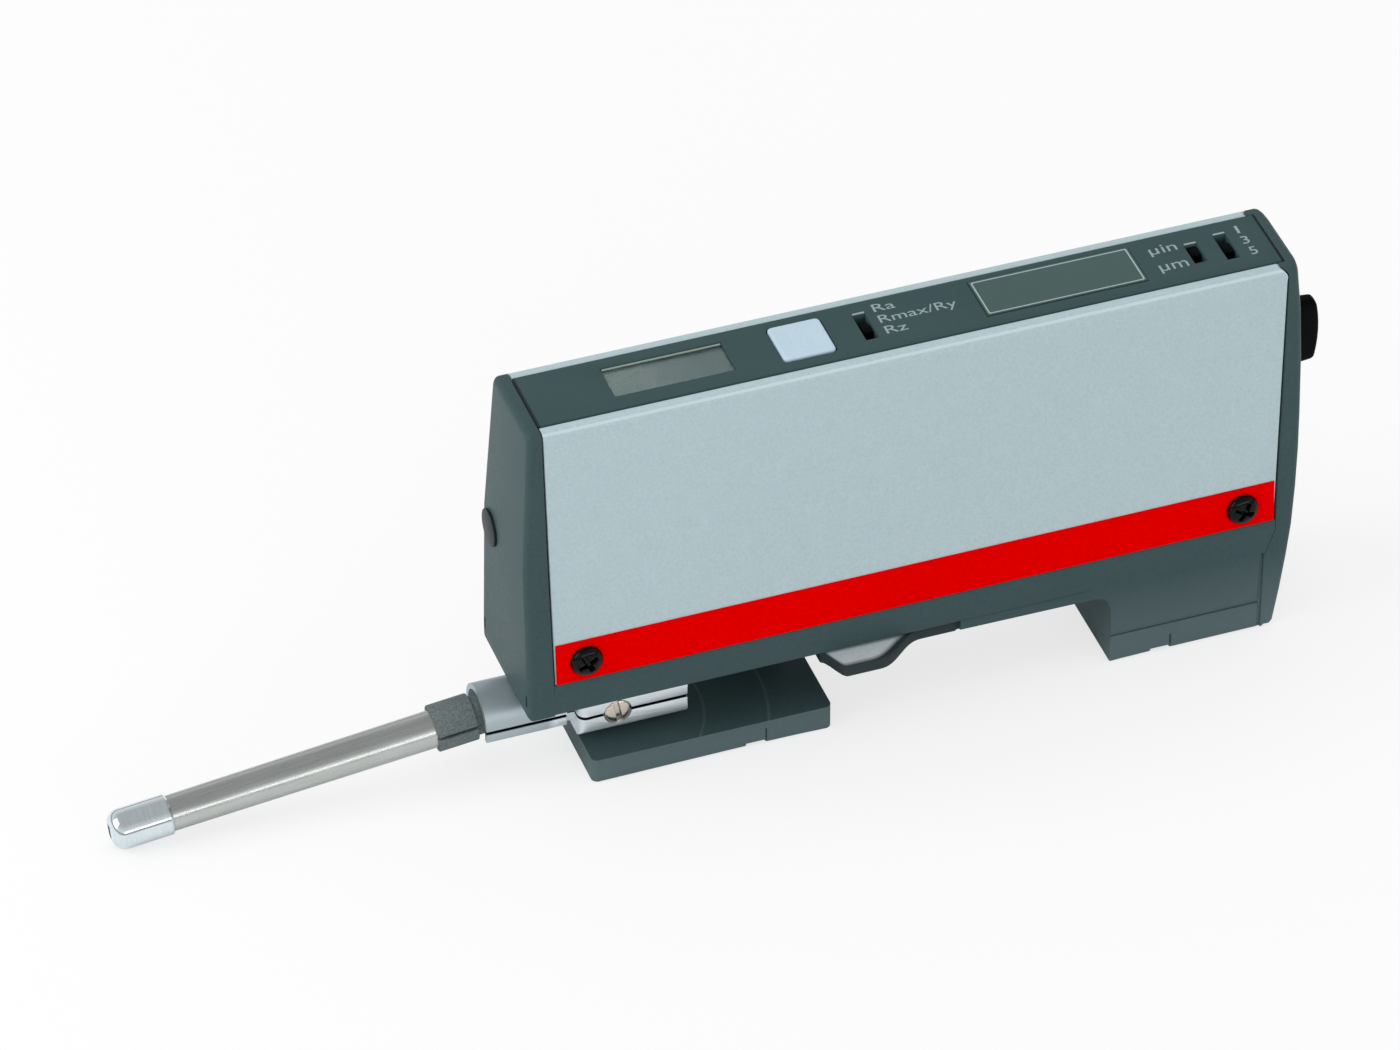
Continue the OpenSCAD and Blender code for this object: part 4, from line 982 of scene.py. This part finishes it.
@dataclass
class TopPanel:
    """The dark strip between the cover lips, with its display, keys, badge and printed marks."""

    top_z: float = 76.6
    start_x: float = 4.24
    end_x: float = 139.10
    joint: float = 0.4
    # Painted shade: dark bands at the panel's ends, standing for the shadow in the joints.
    joint_shade: str = "243033"
    window_x: float = 29.9
    window_y: float = 0.4
    window_l: float = 21.3
    window_w: float = 7.6
    window_sunk: float = 0.3
    window_corner: float = 0.2
    pane_t: float = 0.5
    cell_gap: float = 0.1
    cell_t: float = 0.7
    shade_start: float = 19.0
    shade_end: float = 40.0
    shade_dark: str = "4A6061"
    # Painted highlight along the pane's far edge: width, height and sinking under the panel top.
    edge_w: float = 0.4
    edge_h: float = 0.25
    edge_sunk: float = 0.1
    badge_x: float = 100.5
    badge_y: float = 0.6
    badge_l: float = 29.3
    badge_w: float = 9.8
    badge_up: float = 0.05
    rim_in: float = 0.5
    rim_w: float = 0.28
    rim_corner: float = 0.3
    key_x: float = 53.7
    key_y: float = 0.05
    key_l: float = 9.4
    key_w: float = 9.3
    key_up: float = 0.4
    key_deep: float = 3.4
    mark_h: float = 0.03
    slot_w: float = 2.2
    # Painted highlights at the slots' far ends: length, gap, height and sinking.
    glint: float = 0.42
    glint_gap: float = 0.12
    glint_h: float = 0.05
    glint_sunk: float = 0.02
    slots: tuple[tuple[float, float], ...] = ((65.3, 6.8), (125.7, 5.0), (131.4, 6.8))

    def build(self) -> None:
        """Makes the panel and everything on it."""
        eased_copy("top_panel", self.moulding(), Body.HOUSING, ease_mm=0.3, reach_mm=1.5, smooth_deg=30.0)
        self.window()
        PAINT.coat_node("badge_plate", BADGE)
        self.badge_rim()
        self.slot_glints()
        self.run_key()
        for node, body in (("parameter_knob", Body.PARAMETER), ("unit_knob", Body.UNIT),
                           ("length_knob", Body.LENGTH)):
            eased_copy(node, BLACK_ABS, body, ease_mm=0.2, reach_mm=1.0)
        self.marks()

    def moulding(self) -> Finish:
        """Gives the panel's moulding, with painted shade: dark bands at its ends, standing for the shadow in
        the joints where they meet the casting.

        Returns:
            The panel's finish with its painted joint shade.
        """
        middle = (self.start_x + self.end_x) / 2.0
        clear = (self.end_x - self.start_x) / 2.0 - self.joint
        ends = Edge(clear, clear + CRISP, ALONG, (middle, 0.0, 0.0), mirrored=True)
        return replace(PANEL, marks=(Mark(self.joint_shade, (ends,)),))

    def window(self) -> None:
        """Makes the thin pane, the cell's face close under it and a painted highlight along the pane's far
        edge.

        The cell darkens towards its rear edge, as the light leaves it.
        """
        x, y, length, width = self.window_x, self.window_y, self.window_l, self.window_w
        top = self.top_z - self.window_sunk
        rear = Edge(self.shade_start, self.shade_end, ALONG, ramp=Ramp.SOFT)
        shaded = replace(CELL, marks=(Mark(self.shade_dark, (rear,)),))
        PAINT.coat_node("display_module", shaded)
        foot = top - self.pane_t - self.cell_gap - self.cell_t
        cell, faces = soft_block((x, y, foot), (length, width, self.cell_t), self.window_corner, ease=0.05)
        piece_of("cell_face", cell, faces, shaded, Body.HOUSING)
        pane, faces = soft_block((x, y, top - self.pane_t), (length, width, self.pane_t),
                                 self.window_corner, ease=0.1)
        piece_of("window_pane", pane, faces, PANE, Body.HOUSING, ("display_window",))
        # Painted highlight: a thin pale strip along the pane's far edge.
        far = (x, y + (width - self.edge_w) / 2.0, top - self.edge_sunk)
        line, faces = soft_block(far, (length, self.edge_w, self.edge_h), corner=0.1, ease=0.1)
        piece_of("pane_far_edge_highlight", line, faces, PANE_EDGE_HIGHLIGHT, Body.HOUSING)

    def badge_rim(self) -> None:
        """Makes the pale line round the badge: a low bead with a flat foot carried along a rectangle."""
        corner_points, bead_points, foot_share = 6, 13, -0.5
        ring = rounded_ring(self.badge_l - 2.0 * self.rim_in, self.badge_w - 2.0 * self.rim_in,
                            self.rim_corner, corner_points)
        turn = np.linspace(0.0, 2.0 * math.pi, bead_points)
        across = (self.rim_w / 2.0) * np.cos(turn)
        up = self.mark_h * np.maximum(np.sin(turn), foot_share)
        size = np.array([self.badge_l, self.badge_w]) / 2.0
        grow = 1.0 + across[:, None] / size
        flat = ring[None] * grow[:, None, :]
        z = np.broadcast_to((self.top_z + self.badge_up + up)[:, None, None], flat.shape[:2] + (1,))
        points = np.concatenate([flat + (self.badge_x, self.badge_y), z], -1).reshape(-1, 3)
        piece_of("badge_rim", points, grid_faces(len(turn), len(ring)), INK, Body.HOUSING)

    def slot_glints(self) -> None:
        """Makes painted highlights: thin pale strips at the far ends of the switch slots, standing for the
        light there.
        """
        for n, (x, length) in enumerate(self.slots):
            seat = (x, length / 2.0 + self.glint / 2.0 + self.glint_gap, self.top_z - self.glint_sunk)
            points, faces = soft_block(seat, (self.slot_w, self.glint, self.glint_h), corner=0.12, ease=0.02)
            piece_of(f"slot_glint_{n}", points, faces, PRINT_AND_GLINT, Body.HOUSING)

    def run_key(self) -> None:
        """Makes the run button's cap with its eased edge and shallow dish."""
        foot = (self.key_x, self.key_y, self.top_z - self.key_deep)
        size = (self.key_l, self.key_w, self.key_deep + self.key_up)
        points, faces = soft_block(foot, size, corner=0.8, ease=0.35, dish=0.12)
        piece_of("run_key_cap", points, faces, KEY, Body.RUN_KEY, ("run_button",))

    def marks(self) -> None:
        """Prints the names beside the switches: words, left end, foot, width and height of each."""
        lines = [
            ("Ra", 68.05, 3.15, 3.9, 2.05),
            ("Rmax/Ry", 68.05, 0.0, 14.0, 2.05),
            ("Rz", 68.05, -3.15, 3.9, 2.05),
            ("µin", 118.2, 1.95, 5.0, 2.2),
            ("µm", 118.2, -2.9, 5.2, 1.7),
            ("1", 134.6, 2.65, 0.5, 2.1),
            ("3", 134.4, -0.45, 1.3, 2.1),
            ("5", 134.6, -3.65, 1.3, 2.1)]
        for n, line in enumerate(lines):
            self.print_line(f"mark_{n}", *line)

    def print_line(self, name: str, words: str, x: float, y: float, width: float, cap: float) -> None:
        """Prints one line of lettering on the panel.

        Args:
            name: the piece's name.
            words: what it says.
            x: left end.
            y: foot of the line.
            width: printed width.
            cap: printed height over the foot.
        """
        curve = bpy.data.curves.new(name, "FONT")
        curve.body = words
        curve.resolution_u = 4
        curve.extrude = 0.5
        holder = bpy.data.objects.new(name, curve)
        bpy.context.scene.collection.objects.link(holder)
        bpy.context.view_layer.update()
        solid = holder.evaluated_get(bpy.context.evaluated_depsgraph_get())
        mesh = bpy.data.meshes.new_from_object(solid)
        bpy.data.objects.remove(holder)
        points = points_of(mesh).astype(float)
        low, high = points.min(0), points.max(0)
        share = (points[:, :2] - (low[0], 0.0)) / (high[0] - low[0], high[1])
        flat = share * (width, cap) + (x, y)
        placed = np.column_stack([flat, self.top_z + self.mark_h * points[:, 2] / high[2]])
        mesh.vertices.foreach_set("co", to_frame(placed).astype(np.float32).ravel())
        mesh.update()
        adopt(name, mesh, PRINT_AND_GLINT, Body.HOUSING)


@dataclass
class Holder:
    """The split aluminium holder under the front end, with its clamp screw."""

    swivel_x: float = 14.4
    middle_y: float = -0.5
    split_z: float = 10.8
    slit_h: float = 0.62
    # Painted shade in the sawn slit.
    slit_shade: str = "15181A"
    block_w: float = 15.0
    hood_r: float = 8.0
    # Painted reflection: the hood is greyer, standing for the dark housing mirrored in it.
    hood_reflection_fade: tuple[float, float] = (0.5, -1.0)
    hood_reflection_grey: str = "AEBBC1"
    screw_x: float = 17.6
    head_d: float = 4.9
    head_h: float = 1.1
    head_sunk: float = 0.2
    dome: float = 3.2
    slot_w: float = 0.9
    slot_wall: float = 0.12
    slot_deep: float = 0.75
    slot_turn: float = 100.0

    def build(self) -> None:
        """Makes both halves and the screw."""
        for half in ("holder_upper", "holder_lower"):
            eased_copy(half, self.metal(), Body.HOLDER, ease_mm=0.3, reach_mm=1.5, smooth_deg=30.0)
        self.screw()

    def metal(self) -> Finish:
        """Gives the aluminium, with painted light: greyer on the turned hood, as a painted reflection of the
        dark housing above it, and dark in the sawn slit as painted shade.

        Returns:
            The holder's finish with its marks.
        """
        block_end = (self.swivel_x - self.hood_r, 0.0, 0.0)
        hood = Mark(self.hood_reflection_grey, (Edge(*self.hood_reflection_fade, ALONG, block_end),))
        half = self.slit_h / 2.0
        inside = Edge(half, half - CRISP, UP, (0.0, 0.0, self.split_z), mirrored=True)
        return replace(ALUMINIUM, marks=(hood, Mark(self.slit_shade, (inside,))))

    def slot(self, _: Array, y: Array) -> Array:
        """Gives the depth of a straight driver's slot right across the head."""
        return self.slot_deep * smooth_step(self.slot_wall, self.slot_w / 2.0 - np.abs(y))

    def screw(self) -> None:
        """Makes the slotted clamp screw's head, facing the near side."""
        local, faces = head_surface(self.head_d / 2.0, self.head_h, self.dome, self.slot, rows=60,
                                    columns=120)
        turn = math.radians(self.slot_turn)
        x = (math.cos(turn), 0.0, math.sin(turn))
        z = (0.0, -1.0, 0.0)
        y = np.cross(z, x)
        near = self.middle_y - self.block_w / 2.0 + self.head_h - self.head_sunk
        points = axes_to(local, (self.screw_x, near, self.split_z), x, y, z)
        piece_of("clamp_screw_head", points, faces, TINNED, Body.HOLDER, ("holder_screw",), smooth_deg=50.0)


@dataclass
class Probe:
    """The drooping stylus probe: collar, tube and nose."""

    droop: float = 6.36
    pivot: Triple = (4.0, -0.5, 11.89)
    slot_w: float = 1.2
    slot_back: float = 73.6
    slot_up: float = 1.6
    # Painted shade in the stylus slot.
    slot_shade: str = "1C2022"
    slack: float = 0.04

    def build(self) -> None:
        """Dresses the probe's pieces."""
        eased_copy("probe_collar", COLLAR, Body.PROBE, ease_mm=0.18, reach_mm=0.3, smooth_deg=30.0)
        eased_copy("probe_tube", TUBE, Body.PROBE, smooth_deg=30.0)
        eased_copy("probe_nose", self.nickel(), Body.PROBE, smooth_deg=40.0)
        PAINT.coat_node("stylus", PLAIN_STEEL)
        PAINT.coat_node("probe_shank", PLAIN_STEEL)
        PAINT.coat_node("pickup_element", BRASS)

    def nickel(self) -> Finish:
        """Gives the nose's nickel, with painted shade: dark on the walls, roof and inner end of the stylus
        slot.

        Returns:
            The nose's finish with the painted shade in its slot.
        """
        droop = math.radians(self.droop)
        forward = (-math.cos(droop), 0.0, -math.sin(droop))
        upward = (-math.sin(droop), 0.0, math.cos(droop))
        wall = self.slot_w / 2.0 + self.slack
        back = self.slot_back - self.slack
        roof = self.slot_up + self.slack
        slot = Mark(self.slot_shade, (
            Edge(wall, wall - CRISP, ACROSS, self.pivot, mirrored=True),
            Edge(back, back + CRISP, forward, self.pivot),
            Edge(roof, roof - CRISP, upward, self.pivot)))
        return replace(NOSE, marks=(slot,))


@dataclass
class RearButton:
    """The black button on the rear end wall."""

    def build(self) -> None:
        """Dresses the button."""
        eased_copy("power_button", BLACK_ABS, Body.POWER, smooth_deg=35.0)


@dataclass
class Inside:
    """What works inside: drive, battery and boards."""

    def build(self) -> None:
        """Coats the inner nodes."""
        for finish, nodes in (
                (BLACK_ABS, ("run_switch", "power_switch", "battery_clip")),
                (BOARD, ("top_board", "main_board")),
                (CHIP, ("board_chips",)),
                (JACKET, ("battery",)),
                (PLAIN_STEEL, ("slide_switches", "drive_motor", "drive_gearbox", "carriage", "pivot_washer")),
                (GROUND_STEEL, ("drive_rod", "guide_rods", "pivot_post", "pitch_pin"))):
            for node in nodes:
                PAINT.coat_node(node, finish)


@dataclass
class Studio:
    """Camera, floor and soft light. Lamps and floor are placed in metres, the eye in millimetres."""

    eye: Triple = (-341.23, -1051.19, 959.14)
    azimuth: float = -19.715
    elevation: float = 39.419
    focal_px: float = 8444.9
    sky_low: float = 0.42
    sky_high: float = 0.97
    ceiling: float = 0.42
    ceiling_span: tuple[float, float] = (0.1, 0.8)
    horizon: float = 0.3
    horizon_span: tuple[float, float] = (0.14, 0.3)
    floor_reach: float = 4.0
    floor_drop: float = 0.0002
    floor_white: float = 0.93
    floor_glow: float = 0.72
    aim: Triple = (0.03, 0.0, 0.04)

    def build(self) -> None:
        """Sets up the stage."""
        self.camera()
        self.world()
        self.floor()
        self.lamp("key", place=(-0.95, 0.1, 0.65), size=(0.8, 0.8), watts=5.4)
        self.lamp("strip", place=(0.32, -1.15, 0.34), size=(1.5, 0.14), watts=2.2)
        bpy.context.scene.view_settings.view_transform = "Standard"

    def camera(self) -> None:
        """Places the camera that the photograph's lines were solved for."""
        a, e = math.radians(self.azimuth), math.radians(self.elevation)
        right = Vector((math.cos(a), math.sin(a), 0.0))
        back = Vector((math.sin(a) * math.cos(e), -math.cos(a) * math.cos(e), math.sin(e)))
        up = back.cross(right)
        data = bpy.data.cameras.new("camera")
        data.sensor_width = SENSOR_MM
        data.lens = self.focal_px / IMAGE_WIDTH * SENSOR_MM
        data.clip_start, data.clip_end = 0.05, 30.0
        eye = bpy.data.objects.new("camera", data)
        turn = Matrix((right, up, back)).transposed().to_4x4()
        eye.matrix_world = Matrix.Translation(Vector(to_frame(self.eye))) @ turn
        bpy.context.scene.collection.objects.link(eye)
        bpy.context.scene.camera = eye

    def world(self) -> None:
        """Lights softly from all round; metal sees a white room with a grey ceiling and a dim skirting."""
        world = bpy.data.worlds.new("room")
        bpy.context.scene.world = world
        world.use_nodes = True
        tree = world.node_tree
        tree.nodes.clear()
        rays = add(tree, "ShaderNodeLightPath").outputs
        way = add(tree, "ShaderNodeTexCoord").outputs["Generated"]
        height = add(tree, "ShaderNodeSeparateXYZ", {0: way}).outputs["Z"]
        dome = add(tree, "ShaderNodeMapRange", {
            "Value": height, "To Min": self.sky_low, "To Max": self.sky_high}).outputs[0]
        ceiling = add(tree, "ShaderNodeMapRange", {
            "Value": height, "From Min": self.ceiling_span[0], "From Max": self.ceiling_span[1],
            "To Min": 1.0, "To Max": self.ceiling}).outputs[0]
        horizon = add(tree, "ShaderNodeMapRange", {
            "Value": height, "From Min": self.horizon_span[0], "From Max": self.horizon_span[1],
            "To Min": self.horizon, "To Max": 1.0}).outputs[0]
        room = add(tree, "ShaderNodeMath", {0: ceiling, 1: horizon}, operation="MULTIPLY").outputs[0]
        soft, mirrored, seen = (
            add(tree, "ShaderNodeBackground", {"Color": WHITE, "Strength": strength}).outputs[0]
            for strength in (dome, room, 1.0))
        clear = add(tree, "ShaderNodeMath", {
            0: rays["Is Camera Ray"], 1: rays["Is Transmission Ray"]}, operation="MAXIMUM").outputs[0]
        lit = add(tree, "ShaderNodeMixShader", {0: rays["Is Glossy Ray"], 1: soft, 2: mirrored}).outputs[0]
        shown = add(tree, "ShaderNodeMixShader", {0: clear, 1: lit, 2: seen}).outputs[0]
        add(tree, "ShaderNodeOutputWorld", {"Surface": shown})

    def floor(self) -> None:
        """Lays a pale floor: white to the lens, with a light shadow, and clear when seen from below."""
        reach = np.array([-self.floor_reach, self.floor_reach])
        x, y = np.meshgrid(reach, reach)
        points = np.stack([x, y, np.full_like(x, -self.floor_drop)], -1).reshape(-1, 3)
        mesh = bpy.data.meshes.new("floor")
        mesh.from_pydata(points.tolist(), [], [[0, 1, 3, 2]])
        floor = bpy.data.objects.new("floor", mesh)
        bpy.context.scene.collection.objects.link(floor)
        material = bpy.data.materials.new("pale_floor")
        material.use_nodes = True
        tree = material.node_tree
        tree.nodes.clear()
        rays = add(tree, "ShaderNodeLightPath").outputs
        seen = add(tree, "ShaderNodeMath", {
            0: rays["Is Camera Ray"], 1: rays["Is Transmission Ray"]}, operation="MAXIMUM").outputs[0]
        share = add(tree, "ShaderNodeMath", {0: seen, 1: self.floor_glow}, operation="MULTIPLY").outputs[0]
        matt = add(tree, "ShaderNodeBsdfDiffuse", {"Color": (*(self.floor_white,) * 3, 1.0)}).outputs[0]
        glow = add(tree, "ShaderNodeEmission", {"Color": WHITE, "Strength": 1.0}).outputs[0]
        mixed = add(tree, "ShaderNodeMixShader", {0: share, 1: matt, 2: glow}).outputs[0]
        behind = add(tree, "ShaderNodeNewGeometry").outputs["Backfacing"]
        clear = add(tree, "ShaderNodeBsdfTransparent").outputs[0]
        one_way = add(tree, "ShaderNodeMixShader", {0: behind, 1: mixed, 2: clear}).outputs[0]
        add(tree, "ShaderNodeOutputMaterial", {"Surface": one_way})
        mesh.materials.append(material)

    def lamp(self, name: str, place: Triple, size: tuple[float, float], watts: float) -> None:
        """Hangs a soft lamp that faces the instrument's middle.

        Args:
            name: the lamp's name.
            place: its place in metres.
            size: its width and height in metres.
            watts: its power.
        """
        data = bpy.data.lights.new(name, "AREA")
        data.shape = "RECTANGLE"
        data.size, data.size_y = size
        data.energy = watts
        lamp = bpy.data.objects.new(name, data)
        back = Vector(place) - Vector(self.aim)
        turn = back.to_track_quat("Z", "Y").to_matrix().to_4x4()
        lamp.matrix_world = Matrix.Translation(Vector(place)) @ turn
        bpy.context.scene.collection.objects.link(lamp)


def main() -> None:
    """Builds the stage and every sub-assembly, in order."""
    logging.basicConfig(level=logging.INFO, format="%(name)s %(message)s")
    for part in (Studio(), Housing(), Covers(), TopPanel(), Holder(), Probe(), RearButton(), Inside()):
        LOG.info("building %s", type(part).__name__)
        part.build()


if __name__ == "__main__":
    main()
